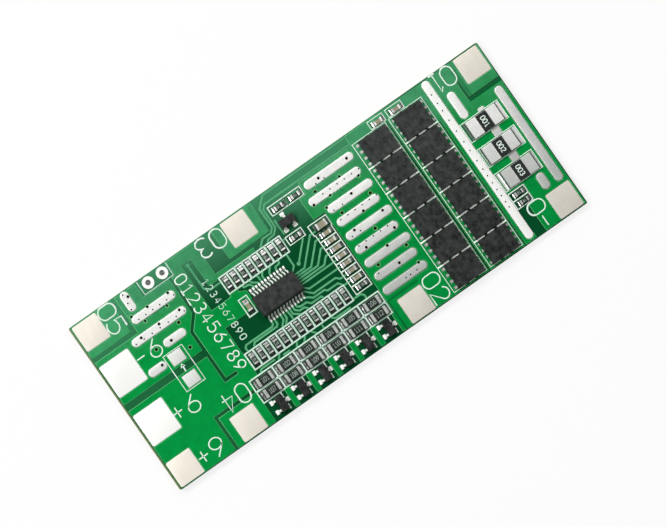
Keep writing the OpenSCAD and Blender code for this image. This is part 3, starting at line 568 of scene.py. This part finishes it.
def disc(vertices, radius, depth):
    """A cylinder round the world's middle; its measures are in millimetres."""
    clear_selection()
    bpy.ops.mesh.primitive_cylinder_add(vertices=vertices, radius=radius * MM, depth=depth * MM,
                                        location=(0, 0, 0))
    return bpy.context.object


def dimpled_disc(vertices, radius, depth, margin, dimple):
    """A cylinder whose top is sunk inside a margin; its measures are in millimetres."""
    made = disc(vertices, radius, depth)
    edit(made, "faces", lambda face: face.normal.z > LEVEL)
    bpy.ops.mesh.inset(thickness=margin * MM)
    bpy.ops.transform.translate(value=(0, 0, -dimple * MM))
    bpy.ops.object.mode_set(mode="OBJECT")
    return made


def finish_piece(obj, name, paint):
    """Name, finish, place in the mesh, and a ride on the board."""
    activate(obj)
    obj.name = name
    bpy.ops.object.transform_apply(location=True, rotation=True, scale=True)
    obj.data.materials.clear()
    obj.data.materials.append(paint.material)
    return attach(obj, "root")


def ribbon_mesh(name, lines, width, low, high, rounding=1):
    """Lines of a flat print: each a route of points in millimetres, closed where it ends at its start."""
    curve = bpy.data.curves.new(name, "CURVE")
    curve.dimensions = "3D"
    curve.bevel_depth = width / 2
    curve.bevel_resolution = rounding
    curve.use_fill_caps = True
    for line in lines:
        closed = len(line) > 2 and line[0] == line[-1]
        points = line[:-1] if closed else line
        spline = curve.splines.new("POLY")
        spline.points.add(len(points) - 1)
        for point, (x, y) in zip(spline.points, points):
            point.co = (x * MM, y * MM, 0, 1)
        spline.use_cyclic_u = closed
    obj = bpy.data.objects.new(name, curve)
    bpy.context.scene.collection.objects.link(obj)
    activate(obj)
    bpy.ops.object.convert(target="MESH")
    obj = bpy.context.object
    bpy.ops.object.mode_set(mode="EDIT")
    bpy.ops.mesh.select_all(action="SELECT")
    bpy.ops.transform.resize(value=(1, 1, (high - low) / width), center_override=(0, 0, 0))
    bpy.ops.transform.translate(value=(0, 0, (low + high) / 2))
    bpy.ops.mesh.normals_make_consistent(inside=False)
    bpy.ops.object.mode_set(mode="OBJECT")
    return obj


def joined_mesh(node):
    """A node's mesh with its doubled corners merged, to read shapes from."""
    mesh = bmesh.new()
    mesh.from_mesh(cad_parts[node].data)
    bmesh.ops.remove_doubles(mesh, verts=mesh.verts, dist=SAME_PLACE)
    mesh.normal_update()
    return mesh


def linked_groups(members, neighbours):
    """Members that reach one another from neighbour to neighbour, group by group."""
    left = dict.fromkeys(members)
    while left:
        queue, group = [next(iter(left))], []
        del left[queue[0]]
        while queue:
            group.append(queue.pop())
            for other in neighbours(group[-1]):
                if other in left:
                    del left[other]
                    queue.append(other)
        yield group


def rims(node):
    """Outlines of a node's flat top, each a closed route of points in millimetres."""
    mesh = joined_mesh(node)
    high = max(v.co.z for v in mesh.verts) - 10 * SAME_PLACE
    flat = {f for f in mesh.faces if f.normal.z > LEVEL and min(v.co.z for v in f.verts) > high}
    onward = {}
    for face in mesh.faces:
        if face in flat:
            for loop in face.loops:
                if not any(f in flat and f is not face for f in loop.edge.link_faces):
                    onward.setdefault(loop.vert, []).append(loop.link_loop_next.vert)
    routes = []
    while onward:
        vert, route = next(iter(onward)), []
        while vert in onward:
            ahead = onward[vert].pop()
            if not onward[vert]:
                del onward[vert]
            route.append((vert.co.x / MM, vert.co.y / MM))
            vert = ahead
        routes.append(route + route[:1])
    mesh.free()
    return routes


def span(route):
    """Larger side of a route's box."""
    xs, ys = zip(*route)
    return max(max(xs) - min(xs), max(ys) - min(ys))


def islands(node):
    """Boxes of a node's separate pieces: x0, y0, x1, y1 in millimetres."""
    mesh = joined_mesh(node)
    boxes = []
    for group in linked_groups(mesh.verts, lambda v: [e.other_vert(v) for e in v.link_edges]):
        places = [v.co / MM for v in group]
        boxes.append((min(c.x for c in places), min(c.y for c in places),
                      max(c.x for c in places), max(c.y for c in places)))
    mesh.free()
    return boxes


def hole_places():
    """Middle and radius, in millimetres, of every round hole through the laminate."""
    mesh = joined_mesh("board")
    walls = [f for f in mesh.faces if abs(f.normal.z) < 0.3]
    found = []
    for group in linked_groups(walls, lambda f: [o for e in f.edges for o in e.link_faces]):
        points = [v.co for f in group for v in f.verts]
        x0, x1 = min(p.x for p in points) / MM, max(p.x for p in points) / MM
        y0, y1 = min(p.y for p in points) / MM, max(p.y for p in points) / MM
        tall = max(p.z for p in points) - min(p.z for p in points)
        round_hole = abs((x1 - x0) - (y1 - y0)) < 0.05 and x1 - x0 < 0.9
        if round_hole and tall > 0.9 * TOP:
            found.append(((x0 + x1) / 2, (y0 + y1) / 2, (x1 - x0) / 2))
    mesh.free()
    return sorted(found)


def join_copies(source, places, name):
    """Copies a small piece, each with its own mesh, to places (x, y, z, scale) and joins them."""
    made = []
    for x, y, z, size in places:
        copy = source.copy()
        copy.data = source.data.copy()
        bpy.context.scene.collection.objects.link(copy)
        copy.location = (x, y, z)
        copy.scale = (size, size, 1)
        made.append(copy)
    bpy.data.objects.remove(source)
    joined = join(made)
    joined.name = name
    return joined


def soften(node, name, offset, paint):
    """Copies a node with its top edges rounded, to stand in for it."""
    obj = bpy.data.objects.new(name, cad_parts[node].data.copy())
    bpy.context.scene.collection.objects.link(obj)
    activate(obj)
    bpy.ops.object.mode_set(mode="EDIT")
    bpy.ops.mesh.select_all(action="SELECT")
    bpy.ops.mesh.remove_doubles(threshold=SAME_PLACE)
    bpy.ops.mesh.dissolve_limited(angle_limit=radians(0.5))
    bpy.ops.object.mode_set(mode="OBJECT")
    top = max(v.co.z for v in obj.data.vertices) - SAME_PLACE

    def on_rim(edge):
        level = [f.normal.z > LEVEL for f in edge.link_faces]
        return min(v.co.z for v in edge.verts) > top and len(level) == 2 and level[0] != level[1]

    round_edges(obj, on_rim, offset, 3)
    bpy.ops.object.shade_smooth_by_angle(angle=radians(50))
    finish_piece(obj, name, paint)
    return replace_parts(obj, node)


def round_bar(box, low, high):
    """A bar of solder that fills this box: round ends and a rounded top edge."""
    x0, y0, x1, y1 = box
    wide, long = sorted((x1 - x0, y1 - y0))
    bar = disc(34, wide / 2, (high - low) / MM)
    for vert in bar.data.vertices:
        vert.co.y += (long - wide) * MM / 2 * (1 if vert.co.y > 0 else -1)
    round_edges(bar, lambda edge: all(v.co.z > 0 for v in edge.verts), 0.19 * MM, 4)
    bar.location = ((x0 + x1) / 2 * MM, (y0 + y1) / 2 * MM, (low + high) / 2)
    bar.rotation_euler.z = pi / 2 if x1 - x0 > y1 - y0 else 0
    return bar


def round_bars(node, paint):
    """Rounded bars in place of a node's, pierced by the same vias."""
    low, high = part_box(node)
    boxes = islands(node)
    joined = join([round_bar(box, low.z, high.z) for box in boxes])
    # The drill is 1 mm in radius before it is scaled to its hole
    inside = [(x * MM, y * MM, high.z, r) for x, y, r in hole_places()
              if any(a - r < x < c + r and b - r < y < d + r for a, b, c, d in boxes)]
    if inside:
        drill = join_copies(disc(20, radius=1, depth=2), inside, "drill")
        cut = joined.modifiers.new("vias", "BOOLEAN")
        cut.operation, cut.solver, cut.object = "DIFFERENCE", "EXACT", drill
        activate(joined)
        bpy.ops.object.modifier_apply(modifier=cut.name)
        bpy.data.objects.remove(drill)
    activate(joined)
    bpy.ops.object.shade_smooth_by_angle(angle=radians(40))
    finish_piece(joined, "rounded_" + node, paint)
    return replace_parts(joined, node)


# ---- characters, in millimetres ----

CELL_WIDTH = 0.62  # of a character drawn 1 high


def box_line(x0, x1, y0, y1):
    return [(x0, y0), (x1, y0), (x1, y1), (x0, y1), (x0, y0)]


def bow(cx, cy, rx, ry, a0, a1, n):
    """Part of an ellipse from angle a0 to a1, in degrees, in n steps."""
    return [(cx + rx * cos(radians(a0 + (a1 - a0) * i / n)), cy + ry * sin(radians(a0 + (a1 - a0) * i / n)))
            for i in range(n + 1)]


# Strokes of the plain characters
GLYPHS = {
    "+": [[(0.02, 0.5), (0.6, 0.5)], [(0.31, 0.22), (0.31, 0.78)]],
    "-": [[(0.02, 0.5), (0.6, 0.5)]],
    "0": [bow(0.31, 0.7, 0.31, 0.3, 0, 180, 8) + bow(0.31, 0.3, 0.31, 0.3, 180, 360, 8) + [(0.62, 0.7)]],
    "1": [[(0.12, 0.78), (0.34, 1), (0.34, 0)], [(0.14, 0), (0.62, 0)]],
    "2": [bow(0.31, 0.7, 0.29, 0.3, 165, -35, 8) + [(0, 0), (0.62, 0)]],
    "3": [bow(0.28, 0.75, 0.28, 0.25, 140, -90, 8) + bow(0.28, 0.26, 0.32, 0.26, 90, -145, 8)[1:]],
    "4": [[(0.44, 0), (0.44, 1), (0, 0.3), (0.62, 0.3)]],
    "5": [[(0.56, 1), (0.08, 1), (0.04, 0.56)] + bow(0.28, 0.33, 0.33, 0.33, 115, -145, 9)],
    "6": [[(0.5, 1), (0.14, 0.6)] + bow(0.31, 0.31, 0.31, 0.31, 155, 515, 12)],
    "7": [[(0, 1), (0.62, 1), (0.2, 0)]],
    "8": [bow(0.31, 0.76, 0.25, 0.24, -90, 270, 12), bow(0.31, 0.26, 0.31, 0.26, 90, 450, 12)],
    "9": [bow(0.31, 0.69, 0.31, 0.31, -25, 335, 12) + [(0.48, 0.4), (0.12, 0)]],
}


def letters(text, x, y, high, wide, pitch, turn):
    """Strokes of a text whose first character's cell starts at x, y; turn is in degrees."""
    c, s = cos(radians(turn)), sin(radians(turn))
    lines = []
    for i, character in enumerate(text):
        for stroke in GLYPHS.get(character, []):
            line = []
            for u, v in stroke:
                a, b = i * pitch + u * wide / CELL_WIDTH, v * high
                line.append((x + a * c - b * s, y + a * s + b * c))
            lines.append(line)
    return lines


# ---- what is printed, in millimetres from the board's middle ----

# Plain numbers for the terminals: taps 0 to 6 of the cells and 9 for the load, with their signs
TERMINAL_MARKS = [
    # character, its box x0, x1, y0, y1, and turn
    ("0", -38.6, -35.3, 14.4, 16.75, -90), ("5", -38.6, -35.3, 11.5, 13.9, -90),
    ("9", -34.8, -32.6, 4.1, 7.3, 180), ("-", -37.5, -35.8, 4.1, 7.3, 180),
    ("9", -34.9, -32.6, -7.5, -4.4, 180), ("+", -37.8, -35.8, -7.5, -3.9, 180),
    ("6", -35.7, -33.3, -16.1, -12.8, 180), ("+", -38.5, -36.5, -16.3, -12.7, 180),
    ("0", -26.5, -24.3, -11.2, -7.7, 180), ("4", -29.4, -27.3, -11.2, -7.7, 180),
    ("0", -14.7, -12.3, 13.2, 16.7, 180), ("3", -17.8, -15.4, 13.2, 16.7, 180),
    ("0", 35.3, 37.6, 13.3, 16.8, 180), ("1", 33.3, 34.9, 13.3, 16.8, 180),
    ("0", 11.6, 14.9, -13.5, -11.2, -90), ("2", 11.6, 14.9, -16.5, -14.2, -90),
    ("0", 34.4, 37.7, -13.6, -11.3, -90), ("-", 34.4, 37.7, -16.3, -14.2, -90),
]


# Vias that the coat covers
COVERED_VIAS = ([(-42.9 + 1.15 * i, 9.0) for i in range(7)] + [(-42.2 + 1.3 * i, 1.5) for i in range(5)]
                + [(-43, -8.9), (-41.2, -8.9), (-39.7, -8.8), (-38, -8.9), (-36.9, -8.9)]
                + [(-37, 6.5), (-35.7, 6.6), (-37, 4.8), (-35.6, 4.8), (-5.85, 16.1)]
                + [(x, y) for y in (12.1, 9.3) for x in (6.25, 9.5, 12.6)])


def mark_in_box(character, x0, x1, y0, y1, turn):
    """A character that fills its box: turned upside down, or a quarter turn clockwise."""
    if turn == 180:
        return letters(character, x1, y1, y1 - y0, x1 - x0, 0, 180)
    return letters(character, x0, y1, x1 - x0, y1 - y0, 0, -90)


POWER_COLUMNS = ((15.4, 22.5), (23.3, 30.3))  # ends of the frames of the two power columns
BALANCE_PITCH = 4.63  # from one balance resistor to the next
CAPACITOR_PITCH = 1.565  # from one capacitor of the column to the next


def legend_lines():
    """Outlines printed round the parts."""
    lines = [
        # A frame between the marks of the load, with an arrow in it
        box_line(-33.4, -29.4, -3.7, 3.6),
        [(-31.8, 0.25), (-31.4, 0.8), (-31.0, 0.25), (-31.8, 0.25)],
        [(-31.4, 0.4), (-31.45, -0.7)],
        # Frames round single chips
        box_line(-3.3, 0.1, 12.6, 14.3),
        box_line(0.1, 3.5, 12.6, 14.3),
        box_line(-3.7, -0.4, 6.7, 8.3),
        box_line(0.7, 4.5, 5.6, 7.6),
        box_line(19.8, 22.9, 15.0, 16.5),
        box_line(23.6, 26.9, 15.0, 16.5),
        # A frame round a pair of chips
        box_line(33.1, 36.4, -11.0, -7.9),
        [(33.1, -9.5), (36.4, -9.5)],
    ]
    # The shunts, the column of capacitors, the ticks in front of the balance resistors
    lines += [box_line(33.1, 41.1, y - 1.85, y + 1.85) for y in (4.95, -0.3, -5.5)]
    lines += [box_line(0.95, 4.3, -6.9, 5.6)]
    for y in (5.6 - CAPACITOR_PITCH * i for i in range(1, 8)):
        lines.append([(0.95, y), (4.3, y)])
    for i in range(6):
        x = -19.9 + BALANCE_PITCH * i
        lines += [[(x, -13.1), (x, -14.2)], [(x, -15.4), (x, -16.4)]]
    lines += [box_line(x0, x1, -16.4, 14.8) for x0, x1 in POWER_COLUMNS]
    return lines


def row_lines():
    """Bolder frames round the rows of chips and of balance resistors."""
    lines = [box_line(-16.8, -15.1, 0.6, 4.1)]
    lines += [box_line(-23.4, 4.4, -13.0, -8.5), [(-23.4, -10.75), (4.4, -10.75)]]
    for x in (-18.6 + BALANCE_PITCH * i for i in range(5)):
        lines.append([(x, -13.0), (x, -8.5)])
    for x0, x1, y0, y1, count in ((-17.4, -4.4, 5.9, 9.2, 8), (-21.3, 0.0, -7.4, -4.2, 13)):
        lines.append(box_line(x0, x1, y0, y1))
        step = (x1 - x0) / count
        lines += [[(x0 + step * i, y0), (x0 + step * i, y1)] for i in range(1, count)]
    return lines


def dash_lines():
    """Broken lines between the rows of power packages."""
    lines, half_gap = [], 0.25
    for x0, x1 in POWER_COLUMNS:
        # The middles of the two gaps
        a, b = x0 + (x1 - x0) * 0.38, x0 + (x1 - x0) * 0.68
        for y in (9.6, 4.4, -0.8, -6.05, -11.3):
            lines += [[(x0, y), (a - half_gap, y)], [(a + half_gap, y), (b - half_gap, y)],
                      [(b + half_gap, y), (x1, y)]]
    return lines


def thin_lines():
    """Finer lines of the print: the frame of the eyelets and a small row of plain numbers."""
    return ([[(-29.7, 16.8), (-29.7, 14.2), (-23.6, 14.2), (-23.6, 16.8)]]
            + letters("1234567890", -20.3, 10.4, high=1.25, wide=0.75, pitch=1.28, turn=-90))


def number_lines():
    """Plain counting numbers where a board carries its printed line."""
    return letters("0123456789", -24.1, 13.5, high=2.2, wide=1.35, pitch=2.0, turn=-90)


def code_groups():
    """Plain numbers on the parts: name of the piece, its lines, and the part's top."""
    balance, shunts, chips = [], [], []
    for row, y in enumerate((-9.65, -11.9)):
        for i in range(6):
            x = -20.9 + BALANCE_PITCH * i
            balance += letters(str(101 + i + 6 * row), x - 0.68, y - 0.42, high=0.84, wide=0.36,
                               pitch=0.5, turn=0)
    for i, y in enumerate((4.95, -0.3, -5.55)):
        x = middle(f"shunt_{i + 1}").x
        shunts += letters(f"00{i + 1}", x - 0.45, y + 0.95, high=0.9, wide=0.5, pitch=0.7, turn=-90)
    for node in ("upper_row_resistors", "lower_row_resistors", "other_resistors"):
        for i, (x0, y0, x1, y1) in enumerate(islands(node)):
            x, y = (x0 + x1) / 2, (y0 + y1) / 2
            chips += letters("01" if i % 3 else "10", x - 0.27, y - 0.22, high=0.44, wide=0.2,
                             pitch=0.32, turn=0)
    return [("balance_codes", balance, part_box("balance_resistors")[1].z),
            ("shunt_codes", shunts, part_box("shunt_1")[1].z),
            ("chip_codes", chips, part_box("upper_row_resistors")[1].z)]


# ---- operators ----

class BOARD_OT_coat(bpy.types.Operator):
    """Gives the laminate, the copper areas and the tracks their green coat"""
    bl_idname = "board.coat"
    bl_label = "Coat board"

    def execute(self, context):
        s = context.scene.board_coat
        dress(["board"], laminate_paint(s))
        dress(["copper_areas"], coat_paint("copper_coat", s.over_copper, 0.75, s))
        dress(["signal_tracks"], coat_paint("track_coat", s.track, 0.3, s))
        for node, name, width, tone in (("copper_areas", "area_rims", 0.17, s.rim),
                                        ("signal_tracks", "track_rims", 0.1, s.track)):
            routes = [r for r in rims(node) if span(r) > 0.8]
            rim = ribbon_mesh(name, routes, width * MM, TOP - 0.06 * MM, COAT_TOP + 0.004 * MM, 0)
            finish_piece(rim, name, rim_paint(name + "_coat", tone))
        return {"FINISHED"}


class BOARD_OT_tin(bpy.types.Operator):
    """Gives the terminals, bars, joints and leads their metal finish"""
    bl_idname = "board.tin"
    bl_label = "Tin metal"

    def execute(self, context):
        s = context.scene.board_metal
        tin, bright = tin_paint("tin", s.tin, s.tin_in_painted_shade), bright_paint(s)
        bare = tin_paint("bare_tin", s.bare, s.bare_in_painted_shade)
        dress(["sensor_eyelets"], bright)
        for name in nodes_with("terminal_", "bare_pads"):
            finish = bright if "_p_" in name else bare if name == "bare_pads" else tin
            soften(name, "tinned_" + name, 0.07 * MM, finish)
        bar = solder_paint("bar_solder", s, rough=0.32, metallic=0.2, relief=0.05)
        for name in nodes_with("solder_bar"):
            round_bars(name, bright if name == "long_solder_bar" else bar)
        # Node, finish, roughness, metallic, relief in millimetres, and what else differs
        joints = [
            ("power_solder", "pad_solder", 0.26, 0.3, 0.03, {"level": 0.84}),
            ("lead_solder", "foot_solder", 0.3, 0.0, 0.03, {"front": 0.0}),
            ("resistor_ends", "end_solder", 0.34, 0.15, 0.04, {"streak": 0.15}),
            ("capacitor_ends", "capacitor_end_solder", 0.34, 0.15, 0.04, {"streak": 0.4}),
            ("balance_resistor_ends", "balance_end_solder", 0.34, 0.15, 0.04, {"streak": 0.26}),
            ("shunt_ends", "shunt_end_solder", 0.36, 0.15, 0.02, {"level": 0.84}),
        ]
        for node, name, rough, metallic, relief, more in joints:
            dress([node], solder_paint(name, s, rough, metallic, relief, **more))
        dress(["chip_solder"], joint_paint(s))
        dress(nodes_with("_leads"), lead_paint("lead_metal", s, 0.1))
        dress(nodes_with("power_frames"), lead_paint("frame_metal", s, 0.2, 0.8))
        dress(["controller_leads"], lead_paint("bent_lead_metal", s, 0.2, bent=True))
        return {"FINISHED"}


class BOARD_OT_packages(bpy.types.Operator):
    """Gives the moulded packages, resistors and capacitors their finish"""
    bl_idname = "board.packages"
    bl_label = "Finish packages"

    def execute(self, context):
        s = context.scene.board_packages
        bodies = [n for n in NODES if "transistor_" in n and n.rsplit("_", 1)[1].isdigit()]
        dress(bodies + ["controller", "driver_transistor"], moulding_paint(s))
        glaze = resistor_paint(s)
        dress([n for n in NODES if n.endswith("_resistors")] + [f"shunt_{i}" for i in (1, 2, 3)], glaze)
        dress([n for n in NODES if n.endswith("_capacitors")], capacitor_paint(s))
        return {"FINISHED"}


class BOARD_OT_legend(bpy.types.Operator):
    """Prints the white outlines and the plain numbers"""
    bl_idname = "board.legend"
    bl_label = "Print legend"

    def execute(self, context):
        s = context.scene.board_legend
        ink, thin = ink_paint("legend_ink", s.ink), ink_paint("thin_ink", s.thin)
        # The dash ink glows a little: painted light where the power packages shade it
        white = ink_paint("white_ink", srgb(254, 254, 252), 0.22)
        dull = ink_paint("code_ink", srgb(168, 184, 173))
        marks = [line for mark in TERMINAL_MARKS for line in mark_in_box(*mark)]
        # Each print's lines, their width in set line widths, and its ink
        for name, lines, wider, finish in (("legend_outlines", legend_lines(), 1.05, ink),
                                           ("legend_rows", row_lines(), 1.6, thin),
                                           ("legend_marks", marks, 1.38, ink),
                                           ("legend_numbers", number_lines(), 1.38, ink),
                                           ("legend_thin_lines", thin_lines(), 0.78, thin),
                                           ("legend_dashes", dash_lines(), 1.5, white)):
            piece = ribbon_mesh(name, lines, s.line * wider, TOP - 0.01 * MM, COAT_TOP + s.height)
            finish_piece(piece, name, finish)
        for name, lines, top in code_groups():
            width = {"chip_codes": 0.1, "balance_codes": 0.115, "shunt_codes": 0.2}[name] * MM
            piece = ribbon_mesh(name, lines, width, top - 0.02 * MM, top + 0.01 * MM)
            finish_piece(piece, name, ink if name == "shunt_codes" else dull)
        return {"FINISHED"}


class BOARD_OT_vias(bpy.types.Operator):
    """Fills the barrels of the vias with dark plugs of painted shade, rings the wide ones and adds those
    under the coat
    """
    bl_idname = "board.vias"
    bl_label = "Fill vias"

    def execute(self, context):
        holes = hole_places()
        # The dark plugs are painted shade for the open barrels
        # A barrel's plug is 1 mm wide before it is scaled to its hole, less a hair
        places = [(x * MM, y * MM, TOP - 0.7 * MM, r * 1.96) for x, y, r in holes]
        plug = dimpled_disc(16, radius=0.5, depth=0.8, margin=0.15, dimple=0.2)
        finish_piece(join_copies(plug, places, "via_barrels"), "via_barrels", dark_paint())
        rings = [[(x + (r + 0.1) * cos(a * pi / 8), y + (r + 0.1) * sin(a * pi / 8)) for a in range(16)]
                 for x, y, r in holes if r > 0.2]
        ring = ribbon_mesh("via_rings", [r + r[:1] for r in rings], 0.16 * MM, TOP, COAT_TOP + 0.012 * MM)
        coat = context.scene.board_coat
        finish_piece(ring, "via_rings", rim_paint("ring_coat", coat.ring))
        places = [(x * MM, y * MM, COAT_TOP - 0.02 * MM, 1) for x, y in COVERED_VIAS]
        cap = dimpled_disc(12, radius=0.17, depth=0.06, margin=0.05, dimple=0.02)
        caps = join_copies(cap, places, "covered_vias")
        finish_piece(caps, "covered_vias", rim_paint("cap_coat", coat.over_laminate))
        return {"FINISHED"}


def light_path(tree, kind):
    """1 where a ray is of this kind, and 0 elsewhere."""
    return tree.node("ShaderNodeLightPath", {}, {}, kind)


class BOARD_OT_stage(bpy.types.Operator):
    """Sets the pale floor, the soft lamps and the camera"""
    bl_idname = "board.stage"
    bl_label = "Set stage"

    def execute(self, context):
        s = context.scene.board_stage
        clear_selection()
        gap = 0.02 * MM  # between the board and the floor
        bpy.ops.mesh.primitive_plane_add(size=9, location=(0, 0, -gap))
        floor = bpy.context.object
        floor.name = "floor"
        bpy.ops.object.transform_apply(location=True, rotation=True, scale=True)
        p = Paint("floor_paint", roughness=0.8)
        grain = p.cloud(0.05, 2.0)
        p.set(Base_Color=p.shade(s.floor, 0.99 + grain * 0.02))
        # The floor shows white, but stays dark where it is seen through the board's holes
        outside = (p.x / (RIGHT - 1.5)).size().most((p.y / (BACK - 0.7)).size()).ramp(0.99, 1.03)
        seen = light_path(p, "Is Camera Ray").most(light_path(p, "Is Glossy Ray") * 0.15) * outside * 0.8
        glow = p.node("ShaderNodeEmission", {}, {"Color": (1, 1, 1)})
        both = p.node("ShaderNodeMixShader", {}, {0: seen, 1: Wire(p, p.shader.outputs[0]), 2: glow})
        p.feed(p.tree.nodes["Material Output"].inputs["Surface"], both)
        floor.data.materials.append(p.material)

        world = bpy.data.worlds.new("studio")
        world.use_nodes = True
        context.scene.world = world
        sky = Tree(world.node_tree)
        x, y, z = sky.split(sky.node("ShaderNodeTexCoord", {}, {}, "Generated"))
        side = (y * 0.85 - x * 0.4).ramp(-0.7, 0.75)
        overhead = z.ramp(0.8, 0.97)
        light = (side * 0.85 + 0.15) * (1 - overhead * s.shroud) * s.fill
        shown = light_path(sky, "Is Camera Ray")
        back = world.node_tree.nodes["Background"]
        sky.feed(back.inputs["Color"], (1, 1, 1))
        sky.feed(back.inputs["Strength"], light * (1 - shown) + shown)

        target = Vector((0.0007, -0.0001, TOP))
        # Name, place in metres, power and width of each lamp
        lamps = [("key_lamp", (-0.3, 0.5, 0.62), s.key, 0.28),
                 ("side_lamp", (-0.62, 0.0, 0.68), s.side, 0.2),
                 ("back_lamp", (0.35, 0.4, 0.6), s.key * 0.36, 0.4)]
        for name, place, power, size in lamps:
            data = bpy.data.lights.new(name, "AREA")
            data.shape = "DISK"
            data.energy, data.size = power, size
            lamp = bpy.data.objects.new(name, data)
            context.scene.collection.objects.link(lamp)
            lamp.location = place
            lamp.rotation_euler = (target - lamp.location).to_track_quat("-Z", "Y").to_euler()

        away = Vector((sin(s.lean) * cos(s.bearing), sin(s.lean) * sin(s.bearing), cos(s.lean)))
        up = Vector((sin(s.roll), cos(s.roll), 0))
        side = up.cross(away).normalized()
        turn = Matrix((side, away.cross(side), away)).transposed()
        data = bpy.data.cameras.new("camera")
        data.lens = s.lens
        data.clip_end = 20
        camera = bpy.data.objects.new("camera", data)
        context.scene.collection.objects.link(camera)
        camera.matrix_world = Matrix.Translation(target + away * s.distance) @ turn.to_4x4()
        context.scene.camera = camera
        context.scene.view_settings.view_transform = "Standard"
        return {"FINISHED"}


class BOARD_PT_panel(bpy.types.Panel):
    """Lists the steps and their settings"""
    bl_label = "Board"
    bl_idname = "BOARD_PT_panel"
    bl_space_type = "VIEW_3D"
    bl_region_type = "UI"
    bl_category = "Board"

    def draw(self, context):
        for operator, settings in STEPS:
            column = self.layout.column(align=True)
            column.operator(operator.bl_idname)
            group = getattr(context.scene, settings)
            for name in group.__annotations__:
                column.prop(group, name)


SETTINGS = [("board_coat", CoatSettings), ("board_metal", MetalSettings), ("board_packages", PackageSettings),
            ("board_legend", LegendSettings), ("board_stage", StageSettings)]
STEPS = [(BOARD_OT_coat, "board_coat"), (BOARD_OT_tin, "board_metal"), (BOARD_OT_packages, "board_packages"),
         (BOARD_OT_legend, "board_legend"), (BOARD_OT_vias, "board_coat"), (BOARD_OT_stage, "board_stage")]


def register():
    for name, group in SETTINGS:
        bpy.utils.register_class(group)
        setattr(bpy.types.Scene, name, PointerProperty(type=group))
    for operator, _ in STEPS:
        bpy.utils.register_class(operator)
    bpy.utils.register_class(BOARD_PT_panel)


def unregister():
    bpy.utils.unregister_class(BOARD_PT_panel)
    for operator, _ in reversed(STEPS):
        bpy.utils.unregister_class(operator)
    for name, group in reversed(SETTINGS):
        delattr(bpy.types.Scene, name)
        bpy.utils.unregister_class(group)


def main():
    register()
    for operator, _ in STEPS:
        area, name = operator.bl_idname.split(".")
        getattr(getattr(bpy.ops, area), name)()


if __name__ == "__main__":
    main()
